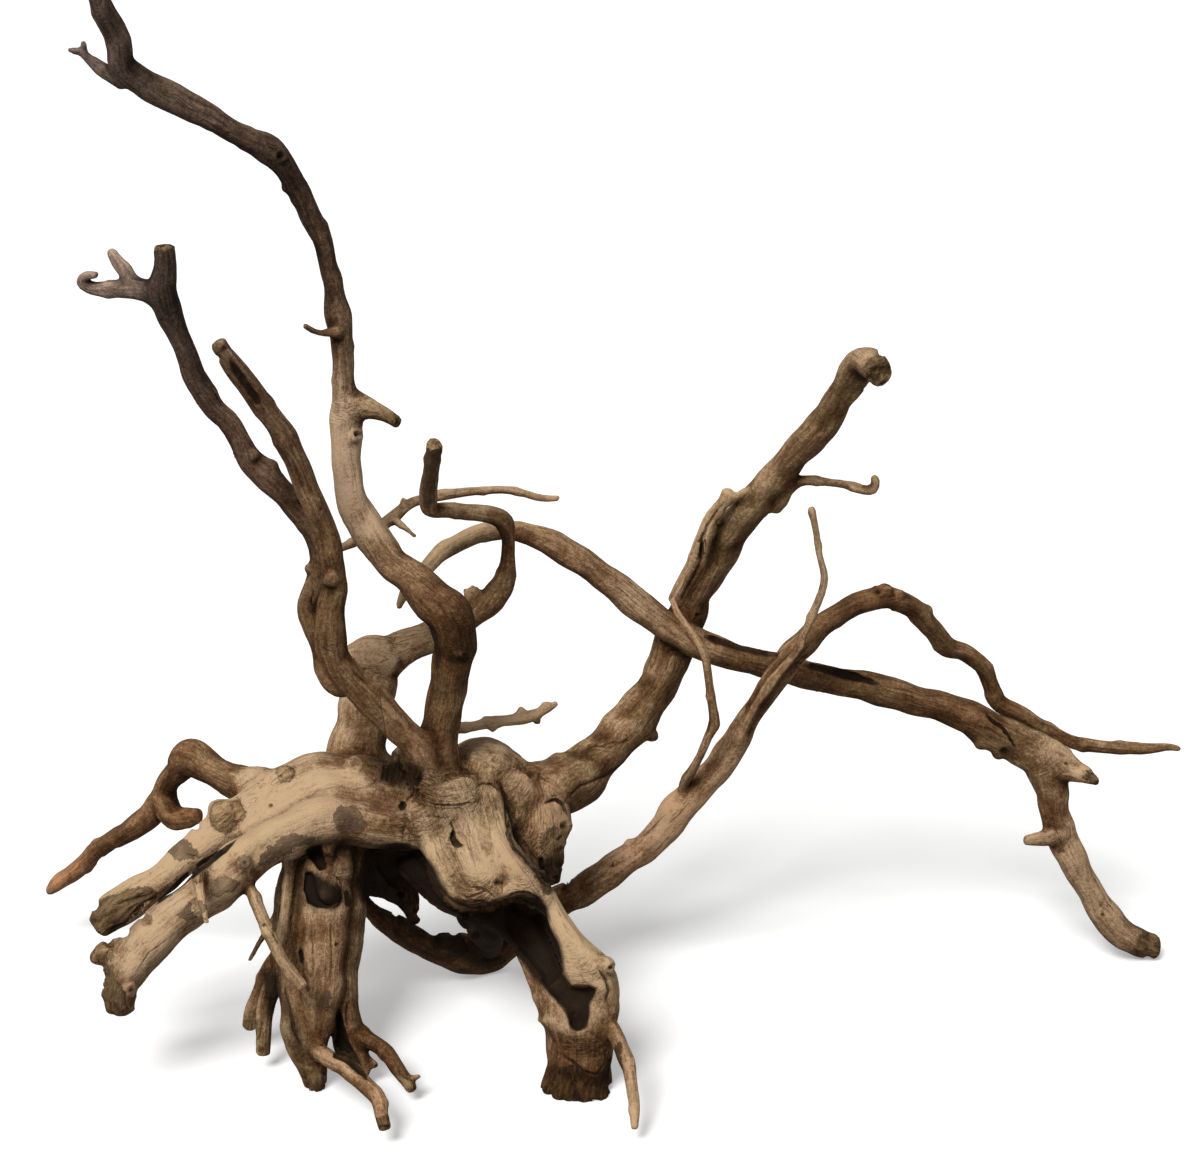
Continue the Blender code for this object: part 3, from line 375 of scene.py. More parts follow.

# Painted shade on sheltered wood: (outline, darkness, softness of its edge)
shades = [
    ([
        (362, 856), (372, 847), (384, 843), (395, 842), (407, 843), (421, 850), (430, 861), (438, 875), (447, 890),
        (454, 899), (466, 903), (472, 912), (472, 925), (468, 930), (462, 929), (456, 921), (455, 917), (433, 911),
        (420, 898), (413, 899), (412, 910), (419, 923), (418, 931), (408, 930), (398, 922), (392, 903), (378, 904),
        (362, 902), (356, 880),
    ], 0.8, 2.0),
    ([
        (364, 860), (378, 850), (392, 846), (404, 850), (410, 862), (406, 880), (398, 898), (380, 901), (366, 896),
        (361, 880),
    ], 0.9, 7),
    ([
        (466, 906), (484, 905), (500, 903), (502, 898), (521, 891), (536, 893), (545, 899), (548, 912), (549, 925),
        (558, 938), (563, 955), (564, 975), (570, 985), (583, 988), (590, 984), (597, 988), (596, 997), (590, 1003),
        (590, 1015), (586, 1028), (580, 1031), (572, 1031), (568, 1022), (566, 1010), (556, 1002), (548, 994),
        (541, 986), (531, 974), (520, 960), (508, 952), (498, 946), (484, 958), (470, 962), (474, 944), (479, 937),
        (474, 925), (468, 930), (460, 926),
    ], 0.84, 2.0),
    ([
        (468, 910), (500, 905), (514, 908), (520, 925), (522, 946), (505, 950), (490, 950), (480, 938), (472, 924),
    ], 0.95, 9),
    ([(566, 990), (580, 992), (592, 990), (590, 1003), (588, 1015), (583, 1027), (574, 1027), (568, 1014)], 0.85, 6),
    ([(302, 838), (340, 834), (372, 836), (404, 842), (368, 852), (360, 864), (340, 860), (302, 862)], 0.5, 7),
    ([(303, 868), (318, 872), (330, 880), (343, 888), (344, 902), (334, 910), (314, 909), (303, 901)], 0.86, 4),
    ([(324, 862), (358, 862), (364, 888), (345, 886), (328, 878)], 0.3, 6),
    ([(297, 858), (306, 858), (305, 880), (302, 905), (297, 926), (294, 900)], 0.6, 3),
    ([(376, 766), (392, 757), (410, 757), (424, 766), (424, 782), (410, 792), (390, 790), (376, 780)], 0.6, 9),
    ([
        (501, 788), (508, 800), (513, 826), (521, 846), (537, 862), (548, 886), (530, 869), (512, 851), (505, 822),
    ], 0.62, 3),
    ([(430, 799), (476, 799), (474, 812), (462, 832), (446, 822), (430, 812)], 0.22, 6),
    ([
        (564, 803), (572, 793), (592, 783), (624, 765), (640, 752), (620, 790), (600, 808), (568, 826), (560, 812),
    ], 0.34, 8),
    ([(536, 858), (560, 856), (564, 870), (560, 888), (544, 892), (534, 872)], 0.6, 5),
    ([(376, 903), (420, 930), (470, 950), (505, 955), (505, 978), (460, 978), (400, 948), (366, 922)], 0.35, 7),
    ([(428, 930), (470, 934), (500, 944), (506, 962), (480, 968), (450, 952), (430, 944)], 0.8, 6),
    ([(284, 985), (294, 1012), (304, 1040), (306, 1062), (290, 1046), (280, 1010)], 0.55, 6),
    ([(262, 972), (280, 970), (283, 1000), (274, 1020), (264, 1006)], 0.8, 5),
    ([(98, 962), (112, 958), (122, 985), (126, 1012), (112, 1014), (98, 1000)], 0.3, 6),
    ([(90, 925), (104, 935), (150, 912), (160, 900), (130, 935), (100, 945)], 0.45, 5),
]

# Rounded swellings pushed out of the skin: (across, down, radius, height mm)
bosses = [
    (330, 893, 11, 3.0), (329, 857, 7, 1.5), (222, 818, 14, 3.0), (472, 897, 11, 1.2), (486, 896, 9, 1.0),
    (281, 775, 9, 1.6), (354, 764, 9, 1.0), (199, 872, 8, 1.6), (574, 826, 6, 1.5), (609, 964, 7, 1.5),
    (598, 990, 12, 1.2), (571, 975, 10, 0.8), (245, 863, 6, 0.8), (131, 990, 7, 1.4), (271, 806, 4, 0.6),
    (108, 958, 10, 1.5), (104, 996, 9, 1.2), (116, 900, 10, 1.2), (532, 775, 8, 0.8), (331, 580, 8, 1.0),
    (378, 683, 5, 0.9), (366, 731, 5, 0.9), (496, 762, 9, 0.9), (315, 1082, 10, 1.2), (344, 870, 12, 1.0),
    (310, 1066, 9, 1.0), (878, 592, 6, 0.8), (981, 745, 7, 0.8), (441, 842, 9, 0.5), (522, 834, 12, 0.8),
    (500, 752, 8, 1.0), (488, 776, 9, 0.9), (447, 838, 10, 0.7), (515, 868, 12, 0.7), (384, 822, 10, 0.7),
    (466, 655, 6, 0.9),
]

# Bites out of broken ends and ragged edges: (across, down, radius, share of the limb's thickness)
nicks = [
    (95, 976, 10, 0.35), (100, 988, 6, 0.2), (97, 1004, 7, 0.25), (112, 1022, 7, 0.3), (139, 1004, 8, 0.2),
    (88, 936, 7, 0.3), (95, 905, 7, 0.25), (92, 926, 6, 0.3), (108, 942, 6, 0.35), (124, 932, 6, 0.25),
    (146, 920, 7, 0.2), (212, 796, 5, 0.2), (304, 1092, 5, 0.3), (316, 1098, 4, 0.3), (330, 1086, 5, 0.25),
    (548, 1090, 5, 0.12), (614, 1088, 6, 0.15), (597, 1108, 5, 0.2), (240, 1030, 5, 0.3), (262, 1050, 4, 0.3),
    (1160, 930, 6, 0.2), (1148, 960, 5, 0.2), (882, 352, 5, 0.2), (868, 392, 5, 0.25), (172, 242, 4, 0.25),
    (156, 238, 4, 0.35), (402, 896, 5, 0.5), (396, 912, 4, 0.4), (418, 914, 5, 0.5), (566, 826, 5, 0.2),
    (575, 846, 6, 0.25), (566, 880, 5, 0.3), (560, 866, 4, 0.2), (454, 930, 5, 0.3), (476, 936, 5, 0.3),
    (400, 420, 4, 0.25), (226, 350, 5, 0.3), (218, 358, 4, 0.25), (166, 835, 6, 0.12), (182, 790, 6, 0.1),
    (196, 826, 5, 0.2), (100, 860, 6, 0.12), (255, 872, 6, 0.1), (318, 700, 6, 0.1), (1062, 852, 6, 0.1),
    (1040, 830, 5, 0.12), (1004, 752, 5, 0.15), (720, 522, 5, 0.2),
]

# Folds and cracks: (points, half width in picture units, depth mm, darkness: the dark of a crack, and painted shade
# along a fold)
cracks = [
    ([(424, 801), (434, 804), (445, 805), (462, 804), (478, 802)], 1.2, 0.7, 0.75),
    ([(403, 805), (409, 798), (416, 791), (424, 788)], 1.0, 0.8, 0.6),
    ([(337, 884), (342, 890), (342, 898), (339, 905), (333, 908)], 1.3, 1.0, 0.7),
    ([(344, 890), (340, 880), (332, 874)], 0.9, 0.6, 0.5),
    ([(420, 818), (432, 816), (444, 818), (452, 816)], 0.8, 0.4, 0.35),
    ([(500, 783), (505, 797), (507, 815), (510, 836), (514, 848), (527, 862), (538, 876), (547, 888)], 2.4, 3.0, 0.95),
    ([(451, 819), (453, 828), (452, 838)], 1.3, 0.9, 0.6),
    ([(186, 853), (200, 858), (214, 858)], 0.9, 0.4, 0.4),
    ([(476, 788), (483, 784), (492, 785), (499, 791)], 1.4, 1.0, 0.5),
    ([(518, 768), (526, 772), (532, 779)], 1.1, 0.7, 0.4),
    ([(348, 1002), (346, 1014), (348, 1026)], 1.2, 0.8, 0.7),
    ([(283, 856), (281, 880), (279, 905), (275, 932)], 1.2, 0.9, 0.5),
    ([(298, 856), (296, 880), (293, 905), (291, 932)], 1.4, 0.9, 0.5),
    ([(284, 986), (289, 1008), (294, 1030), (301, 1048)], 1.6, 1.0, 0.5),
    ([(701, 541), (702, 550), (701, 560)], 2.2, 2.0, 0.9),
    ([(681, 600), (690, 583), (699, 566), (703, 552), (701, 540), (708, 525), (716, 512), (724, 502)], 1.4, 1.3, 0.5),
    ([(586, 750), (596, 746), (604, 747), (613, 742), (625, 742)], 0.8, 0.5, 0.4),
    ([(590, 757), (604, 752), (618, 752)], 0.7, 0.4, 0.3),
    ([(600, 750), (612, 747), (630, 738)], 0.7, 0.4, 0.35),
    ([(640, 741), (652, 733), (660, 722)], 0.7, 0.3, 0.35),
    ([(624, 763), (608, 774), (592, 781), (580, 786), (572, 794), (564, 803)], 1.2, 1.0, 0.4),
    ([(545, 803), (556, 800), (563, 805), (568, 816)], 2.2, 2.0, 0.75),
    ([(985, 712), (993, 722), (1003, 728), (1009, 737), (1016, 750)], 1.8, 1.8, 0.85),
    ([(668, 824), (679, 815), (690, 802)], 0.9, 0.5, 0.4),
    ([(640, 838), (655, 826), (666, 814)], 0.8, 0.4, 0.35),
    ([(744, 712), (752, 700), (760, 690)], 1.0, 0.5, 0.4),
    ([(760, 676), (772, 660), (785, 648)], 1.1, 0.6, 0.5),
    ([(316, 590), (313, 602), (314, 614)], 2.2, 1.4, 0.6),
    ([(352, 668), (358, 676), (368, 684)], 0.9, 0.5, 0.4),
    ([(322, 646), (328, 650), (336, 652)], 0.8, 0.4, 0.4),
    ([(268, 146), (274, 149), (279, 149)], 0.9, 0.4, 0.5),
    ([(418, 568), (430, 577), (446, 588)], 0.7, 0.3, 0.3),
    ([(412, 574), (424, 584), (438, 594)], 0.7, 0.3, 0.3),
    ([(208, 385), (214, 392), (220, 402)], 1.0, 0.5, 0.5),
    ([(380, 690), (384, 720), (386, 745)], 0.8, 0.4, 0.3),
    ([(460, 893), (468, 898), (478, 894), (486, 890), (496, 897)], 1.2, 1.0, 0.55),
    ([(466, 888), (478, 887), (490, 891)], 0.9, 0.6, 0.4),
    ([(470, 903), (480, 901), (492, 904)], 1.1, 0.9, 0.5),
    ([(506, 898), (518, 892), (530, 893), (541, 899)], 1.4, 1.2, 0.6),
    ([(598, 968), (606, 980), (609, 992), (605, 1004)], 1.3, 1.2, 0.55),
    ([(560, 1053), (572, 1061), (584, 1071), (596, 1076), (606, 1062)], 1.1, 1.0, 0.4),
    ([(1052, 812), (1056, 830), (1064, 850)], 0.8, 0.3, 0.3),
    ([(128, 915), (146, 905), (160, 899)], 1.3, 1.2, 0.7),
    ([(112, 905), (130, 900), (150, 893)], 1.1, 0.9, 0.6),
    ([(104, 932), (124, 922), (142, 910)], 1.0, 0.9, 0.6),
    ([(170, 938), (150, 952), (136, 972)], 0.9, 0.4, 0.35),
    ([(262, 920), (270, 930), (282, 948)], 0.7, 0.3, 0.25),
    ([(312, 930), (313, 960), (311, 985)], 0.7, 0.3, 0.25),
    ([(330, 925), (332, 960), (331, 985)], 0.6, 0.3, 0.2),
    ([(352, 790), (372, 786), (380, 776)], 0.8, 0.3, 0.25),
    ([(516, 860), (530, 878), (544, 900)], 0.7, 0.3, 0.25),
    ([(468, 820), (470, 845), (476, 870)], 0.7, 0.3, 0.2),
    ([(434, 640), (438, 680), (436, 720)], 0.6, 0.3, 0.2),
    ([(350, 420), (352, 460), (358, 490)], 0.6, 0.3, 0.2),
]

# Pits and knots: (across, down, radius, height of the ring mm, depth of the eye mm)
knots = [
    (356, 435, 6, 0.9, 2.4), (281, 156, 6, 0.8, 2.2), (698, 615, 4.5, 0.3, 1.8), (271, 806, 5, 0.6, 1.2),
    (309, 749, 4, 0.2, 1.6), (281, 776, 11, 0.7, 0.5), (354, 764, 10, 0.6, 0.3), (245, 863, 7, 0.6, 0.8),
    (131, 990, 7, 0.6, 0.8), (336, 945, 4.5, 0.3, 0.9), (611, 968, 5.5, 0.6, 1.6), (321, 510, 4, 0.2, 0.9),
    (331, 580, 8, 0.5, 0.4), (378, 683, 5, 0.4, 0.2), (442, 736, 4, 0.4, 0.2), (466, 655, 4.5, 0.7, 0.2),
    (531, 774, 8, 0.4, 0.8), (540, 775, 4, 0.1, 0.9), (1066, 763, 4, 0.2, 1.2), (1103, 915, 4, 0.2, 1.2),
    (580, 872, 3.5, 0.1, 0.9), (612, 866, 3.5, 0.1, 1.0), (878, 592, 6, 0.6, 1.2), (497, 882, 6, 0.4, 0.5),
    (478, 889, 5, 0.4, 0.6), (574, 1014, 5, 0.1, 1.6), (264, 925, 3.5, 0.2, 0.8), (345, 478, 3.5, 0.2, 0.5),
    (384, 823, 5, 0.3, 0.4), (494, 760, 6, 0.4, 0.6), (345, 950, 3, 0.1, 0.4), (232, 455, 4, 0.3, 0.5),
    (1094, 772, 4, 0.2, 0.8), (730, 700, 3.5, 0.2, 0.5), (820, 690, 3.5, 0.2, 0.4), (1100, 905, 3, 0.1, 0.5),
]

# Wrinkled skin: (outline, direction across the wrinkles in degrees, spacing, height mm, bend)
wrinkleBands = [
    ([(421, 770), (458, 770), (474, 788), (480, 806), (446, 812), (424, 806), (416, 790)], 92, 3.6, 0.45, 0.10),
    ([(412, 806), (462, 806), (458, 826), (432, 838), (408, 842), (402, 828)], 62, 3.6, 0.5, 0.12),
    ([(458, 742), (474, 756), (494, 808), (478, 814), (462, 790)], 22, 3.6, 0.35, 0.05),
    ([(566, 948), (590, 954), (606, 972), (602, 1000), (592, 982), (570, 982)], 70, 4.0, 0.35, 0.2),
    ([(326, 862), (352, 860), (362, 872), (356, 886), (338, 882), (330, 872)], 80, 4.0, 0.4, 0.15),
    ([(378, 758), (400, 756), (420, 766), (418, 794), (398, 796), (378, 782)], 10, 5.0, 0.5, 0.05),
    ([(486, 748), (520, 762), (532, 796), (506, 798), (496, 776)], 40, 4.6, 0.35, 0.08),
    ([(455, 880), (500, 880), (500, 908), (470, 910), (454, 898)], 85, 4.0, 0.5, 0.3),
    ([(500, 880), (545, 882), (548, 900), (504, 900)], 80, 3.4, 0.3, 0.1),
    ([(514, 812), (540, 808), (560, 826), (552, 856), (530, 858), (518, 846)], 20, 5.0, 0.35, 0.1),
    ([(380, 814), (410, 814), (416, 836), (380, 838)], 88, 5.0, 0.25, 0.1),
    ([(440, 606), (474, 614), (476, 646), (444, 652)], 88, 4.0, 0.14, 0.1),
    ([(330, 404), (366, 400), (372, 416), (334, 424)], 88, 3.6, 0.25, 0.1),
    ([(560, 1036), (600, 1040), (606, 1060), (580, 1060), (560, 1050)], 85, 4.5, 0.25, 0.1),
    ([(1012, 740), (1050, 745), (1066, 776), (1040, 780)], 60, 4.5, 0.2, 0.1),
]

# Patches of old grey bark, as outlines on the picture
barkPatches = [
    [
        (333, 812), (339, 806), (346, 808), (352, 805), (360, 813), (362, 819), (367, 824), (359, 834), (350, 831),
        (345, 833), (338, 830), (335, 822),
    ],
    [
        (253, 868), (256, 858), (264, 853), (268, 846), (276, 845), (282, 836), (292, 832), (304, 837), (322, 837),
        (312, 843), (298, 847), (290, 853), (280, 856), (270, 864),
    ],
    [(165, 851), (172, 843), (178, 839), (190, 840), (192, 846), (198, 850), (194, 860), (186, 857), (180, 860)],
    [(206, 894), (210, 886), (214, 880), (224, 876), (230, 879), (240, 881), (233, 891), (224, 891), (218, 897)],
    [(178, 915), (184, 909), (188, 901), (194, 903), (200, 900), (206, 908), (198, 914), (195, 920), (186, 921)],
    [(315, 1007), (319, 998), (321, 991), (328, 989), (332, 997), (329, 1003), (331, 1008), (322, 1011)],
    [(274, 868), (280, 858), (284, 880), (279, 905), (277, 932), (271, 934), (272, 900)],
    [(238, 858), (243, 856), (250, 858), (252, 866), (246, 871), (240, 868)],
    [(1084, 770), (1094, 772), (1108, 786), (1098, 788)],
    [(420, 440), (432, 434), (440, 450), (436, 480), (434, 504), (424, 504), (421, 480)],
    [(112, 912), (140, 900), (166, 884), (178, 876), (172, 892), (150, 908), (128, 922), (112, 926)],
]

# Torn, fibrous wood, as (outline on the picture, how pale it is)
tornPatches = [
    ([
        (542, 1092), (556, 1078), (564, 1066), (574, 1064), (584, 1072), (596, 1078), (604, 1068), (608, 1056),
        (620, 1044), (622, 1075), (612, 1098), (592, 1118), (540, 1118),
    ], 0),
    ([(862, 372), (868, 360), (886, 352), (896, 378), (884, 398), (862, 392)], 0.4),
    ([
        (80, 912), (98, 901), (112, 898), (128, 891), (150, 886), (158, 890), (176, 880), (172, 892), (150, 906),
        (124, 924), (100, 948), (78, 944),
    ], 0.35),
    ([(78, 956), (92, 952), (110, 968), (120, 986), (126, 1004), (142, 1006), (136, 1030), (92, 1030)], 0.45),
    ([(214, 802), (226, 796), (240, 799), (245, 812), (240, 826), (226, 834), (212, 826), (208, 814)], 1.0),
    ([(1082, 776), (1090, 770), (1110, 786), (1098, 792)], 0.3),
    ([(541, 834), (552, 828), (576, 826), (577, 840), (566, 858), (548, 858), (541, 848)], 0.45),
    ([(536, 860), (550, 856), (564, 860), (566, 890), (544, 892), (536, 876)], 0.2),
    ([(1144, 930), (1172, 930), (1172, 968), (1138, 966), (1134, 950)], 0.35),
    ([(434, 930), (470, 934), (476, 946), (462, 954), (438, 946)], 0),
    ([(298, 1080), (318, 1074), (332, 1072), (336, 1100), (300, 1100)], 0.35),
    ([(150, 236), (164, 236), (174, 240), (170, 250), (156, 252), (150, 246)], 0.8),
    ([(238, 1018), (262, 1022), (258, 1040), (238, 1034)], 0.5),
    ([(276, 768), (286, 766), (293, 772), (290, 781), (280, 782)], 1.0),
    ([(264, 970), (280, 976), (280, 1000), (266, 1000)], 0.3),
    ([(190, 862), (206, 862), (206, 880), (196, 884), (190, 876)], 0.9),
    ([(384, 884), (424, 890), (424, 936), (396, 936)], 0),
    ([(456, 898), (500, 902), (500, 912), (462, 932)], 0),
    ([(380, 1066), (410, 1080), (418, 1096), (398, 1094)], 0.6),
    ([(394, 412), (406, 416), (404, 430), (392, 428)], 0.5),
    ([(424, 434), (446, 432), (446, 449), (425, 450)], 1.0),
    ([(376, 1118), (394, 1116), (394, 1134), (378, 1134)], 0.4),
    ([(92, 944), (112, 942), (114, 958), (92, 964)], 1.0),
]

# How light each limb's wood is along it, from 0 dark to 1 light, and how warm at its two ends; the lightness is partly
# the wood's own tone and partly painted shade, near 0 on the limbs in the hollow under the crown and lower on limbs
# that lie in shadow
limbTonesAndShade = {
    "crownCore": ((0.5,), (0.1, 0.1)),
    "crownPlateLeft": ((0.5, 0.75, 0.7, 0.5, 0.45), (0, 0)),
    "crownPlateMiddle": ((0.6, 0.55, 0.65, 0.8), (0, 0)),
    "crownPlateRight": ((0.5, 0.5, 0.6, 0.8, 0.8, 0.75), (0, 0)),
    "crownKnobLip": ((0.6, 0.45, 0.4, 0.6), (0.2, 0.2)),
    "crownScoopLip": ((0.7, 0.6, 0.7), (0.1, 0.1)),
    "crownBackWall": ((0.05, 0.05), (0, 0)),
    "crownInnerWall": ((0.2, 0.1), (0.2, 0.2)),
    "crownUnderMass": ((0.05, 0.05), (0, 0)),
    "crownUnderTooth": ((0.1,), (0, 0)),
    "crownHump": ((0.7, 0.75, 0.5), (0.1, 0.1)),
    "crownWeb": ((0.35,), (0.1, 0.1)),
    "rearStump": ((0.75, 0.75, 0.55, 0.2), (0.3, 0.3)),
    "rearStumpPlug": ((0.4, 0.5), (0.3, 0.3)),
    "slabBack": ((0.1, 0.15, 0.45, 0.95, 1.0, 0.95, 0.75, 0.35), (0, 0)),
    "slabMiddle": ((0.4, 0.7, 0.9, 1.0, 0.95), (0, 0)),
    "slabFront": ((0.4, 0.45, 0.65, 0.85, 0.75, 0.7, 0.65, 0.65, 0.5), (0, 0.1)),
    "slabFrontCorner": ((0.5, 0.6), (0.1, 0.3)),
    "slabTwig": ((0.5, 0.6), (0.1, 0.1)),
    "slabSpur": ((0.4, 0.55, 0.5), (0.1, 0.1)),
    "leftLegOuter": ((0.45, 0.55, 0.5, 0.5, 0.4, 0.3, 0.15), (0, 0.1)),
    "leftLegMiddle": ((0.4, 0.5, 0.5, 0.38, 0.3), (0.1, 0.1)),
    "leftLegInner": ((0.35, 0.4, 0.45, 0.5, 0.3, 0.3), (0, 0)),
    "leftLegSplitWall": ((0.3,), (0.1, 0.1)),
    "leftLegPlank": ((0.75, 0.7, 0.6), (-0.1, 0)),
    "leftLegStub": ((0.3,), (0.2, 0.2)),
    "crownHang": ((0.05,), (0, 0)),
    "rearStumpShard": ((0.4, 0.1), (0.2, 0.2)),
    "leftLegRoot": ((0.35, 0.4, 0.7), (0.1, 0.1)),
    "leftLegSpur": ((0.3, 0.4), (0, 0)),
    "leftToe": ((0.35, 0.5, 0.35, 0.5), (0.3, 0.5)),
    "innerToe": ((0.1, 0.1, 0.15), (0.2, 0.2)),
    "innerToeTwig": ((0.5,), (0.1, 0.1)),
    "rightLegBack": ((0.1, 0.15, 0.2), (0.1, 0.1)),
    "rightLegRim": ((1.0, 1.0, 0.95, 0.7, 0.6), (0, 0.1)),
    "rightLegEdge": ((0.2, 0.35, 0.35), (0.2, 0.2)),
    "rightLeg": ((0.5, 0.5, 0.35, 0.15, -0.1), (0.1, 0.4)),
    "rightLegKnob": ((0.6,), (0.1, 0.1)),
    "rightLegTusk": ((0.3, 0.4, 0.65), (0.1, 0.1)),
    "mainStem": ((0.7, 0.25, -0.2, 0.4, 1.0, 0.4, -0.12, -0.2, -0.05, 0.05, 0.0), (0.3, -0.8)),
    "stemFork": ((0.15, 0.1), (-0.9, -1.0)),
    "stemForkTip": ((0.1,), (-1, -1)),
    "stemHook": ((0.3, 0.05), (0, -0.4)),
    "stemStub": ((0.3, 0.15), (0, 0)),
    "nearStem": ((0.15, 0.4, 0.25, 0.15, 0.12, 0.1, 0.05, 0.05, 0.1), (0.3, -0.3)),
    "farStem": ((0.1, 0.15, 0.05, 0.0, 0.0, -0.05, -0.15, -0.2, -0.15), (0.1, -0.8)),
    "farStemBud": ((0.4,), (0, 0)),
    "farHand": ((0.2, 0.4), (-0.9, -0.8)),
    "farFinger": ((0.3, 0.4), (-0.8, -0.8)),
    "crossTwig": ((0.6, 0.75, 0.5, 0.4, 0.5, 0.75), (0.1, 0.2)),
    "crossTwigBud": ((0.5,), (0, 0)),
    "crossTwigSpur": ((0.5,), (0, 0)),
    "rearLimb": ((0.4, 0.4, 0.4, 0.5, 0.5, 0.25, 0.25, 0.15, 0.4, 0.3, 0.0), (0.1, 0.1)),
    "rearShoulder": ((0.45,), (0, 0)),
    "rearBud": ((0.4,), (0, 0)),
    "rearSpike": ((0.8, 0.85, 0.8, 0.7, 0.5), (0, 0.2)),
    "slabArm": ((0.4, 0.35, 0.1, 0.1, 0.35, 0.15, -0.02, 0.2, 0.42, 0.4), (0.1, 1.0)),
    "slabArmToe": ((0.2, 0.25), (0.9, 0.9)),
    "highLimb": ((0.3, 0.15, 0.3, 0.25, 0.1, 0.25, 0.42, 0.32, 0.25, 0.32, 0.4), (0.2, 0.1)),
    "highLimbRib": ((0.45, 0.5, 0.55), (0.1, 0.1)),
    "highTwig": ((0.3, 0.4, 0.4), (0, 0)),
    "longRoot": ((0.5, 0.8, 0.1, 0.35, 0.25, 0.1, 0.0, 0.15, 0.35, 0.5, 0.15), (0.1, 0.1)),
    "longRootThorn": ((0.4,), (0.1, 0.1)),
    "hoopRoot": ((0.1, 0.0, 0.2, 0.2, 0.7, 0.4, 0.12, 0.12, 0.25, 0.15, 0.15), (0.5, 0.3)),
    "hoopShelf": ((0.0,), (0, 0)),
    "hoopRib": ((0.3, 0.35, 0.5, 0.5), (0.1, 0.1)),
    "climbingTwig": ((0.25, 0.35, 0.35, 0.4), (0.1, 0.1)),
}

millimetre = 0.001


def toSpace(across, down, depth):
    # the point seen at (across, down) in the upright plane y = depth: the eye's ray is followed
    # until it meets that plane; also gives how much farther than the picture plane it lies
    view = pictureView
    sine, cosine = math.sin(view["elevation"]), math.cos(view["elevation"])
    alongX = (across - view["centre"][0]) * view["unit"] / view["distance"]
    alongUp = (view["centre"][1] - down) * view["unit"] / view["distance"]
    eyeY, eyeZ = -view["distance"] * cosine, view["distance"] * sine + view["height"]
    reach = (depth * millimetre - eyeY) / (cosine + alongUp * sine)
    x, y = alongX * reach + view["shift"][0], depth * millimetre + view["shift"][1]
    z = eyeZ + (alongUp * cosine - sine) * reach
    return np.stack([x, y, z], axis=-1), reach / view["distance"]


def toPicture(points):
    # the reverse: where on the picture each point shows, and how far it is from the eye
    view = pictureView
    sine, cosine = math.sin(view["elevation"]), math.cos(view["elevation"])
    eyeY, eyeZ = view["shift"][1] - view["distance"] * cosine, view["distance"] * sine + view["height"]
    sight = points - np.array([view["shift"][0], eyeY, eyeZ])
    reach = sight[:, 1] * cosine - sight[:, 2] * sine
    scale = view["distance"] / view["unit"] / reach
    across = view["centre"][0] + sight[:, 0] * scale
    down = view["centre"][1] - (sight[:, 1] * sine + sight[:, 2] * cosine) * scale
    return across, down, reach, sight / np.linalg.norm(sight, axis=1)[:, None]


def stationsOf(rows):
    across, down, depth, halfWidth = np.array(rows, float).T
    points, farness = toSpace(across, down, depth)
    return np.column_stack([points, halfWidth * pictureView["unit"] * farness])


def alongCurve(stations, step, thinnest):
    # Catmull-Rom curve through the stations, about one sample per step
    padded = np.vstack([2 * stations[0] - stations[1], stations, 2 * stations[-1] - stations[-2]])
    pieces = []
    for a, b, c, d in zip(padded[:-3], padded[1:-2], padded[2:-1], padded[3:]):
        count = max(1, round(float(np.linalg.norm(c[:3] - b[:3])) / step))
        t = (np.arange(count) / count)[:, None]
        bend, twist = (2 * a - 5 * b + 4 * c - d) * t**2, (3 * b - a - 3 * c + d) * t**3
        pieces.append(0.5 * (2 * b + (c - a) * t + bend + twist))
    samples = np.vstack([*pieces, stations[-1:]])
    samples[:, 3] = np.maximum(samples[:, 3], thinnest)
    return samples


def carriedFrames(centres):
    # a side and an up direction at each ring, carried along the limb without twisting
    tangents = np.gradient(centres, axis=0)
    tangents /= np.linalg.norm(tangents, axis=1)[:, None]
    upright = abs(tangents[0][2]) >= 0.9
    side = np.cross(tangents[0], (1.0, 0.0, 0.0) if upright else (0.0, 0.0, 1.0))
    sides = []
    for tangent in tangents:
        side = side - tangent * side.dot(tangent)
        side = side / np.linalg.norm(side)
        sides.append(side)
    sides = np.array(sides)
    return tangents, sides, np.cross(tangents, sides)


cellKeys = {"axes": (73856093, 19349663, 83492791), "seed": 39916801, "stir": 1274126177}


def cellNoise(points, seed):
    # values from -1 to 1 at whole-number corners, blended smoothly across each cell; a corner's
    # value comes from its number, stirred by multiplying and by folding its high bits into its low
    cell = np.floor(points).astype(np.int64)
    part = points - cell
    part = part * part * (3 - 2 * part)
    total = np.zeros(len(points))
    for corner in range(8):
        step = np.array([corner & 1, corner >> 1 & 1, corner >> 2 & 1])
        key = (cell + step) @ np.array(cellKeys["axes"]) + seed * cellKeys["seed"]
        key = ((key ^ (key >> 13)) * cellKeys["stir"]) & 0xFFFFFFFF
        value = ((key ^ (key >> 16)) & 0xFFFF) / 32767.5 - 1
        total += value * np.prod(np.where(step, part, 1 - part), axis=1)
    return total


def layeredNoise(points, seed, layers=3):
    # each layer is twice as fine and half as strong as the one before
    total, strength = np.zeros(len(points)), 1.0
    for layer in range(layers):
        total += strength * cellNoise(points * 2**layer, seed + layer)
        strength /= 2
    return total / (2 - 2 ** (1 - layers))


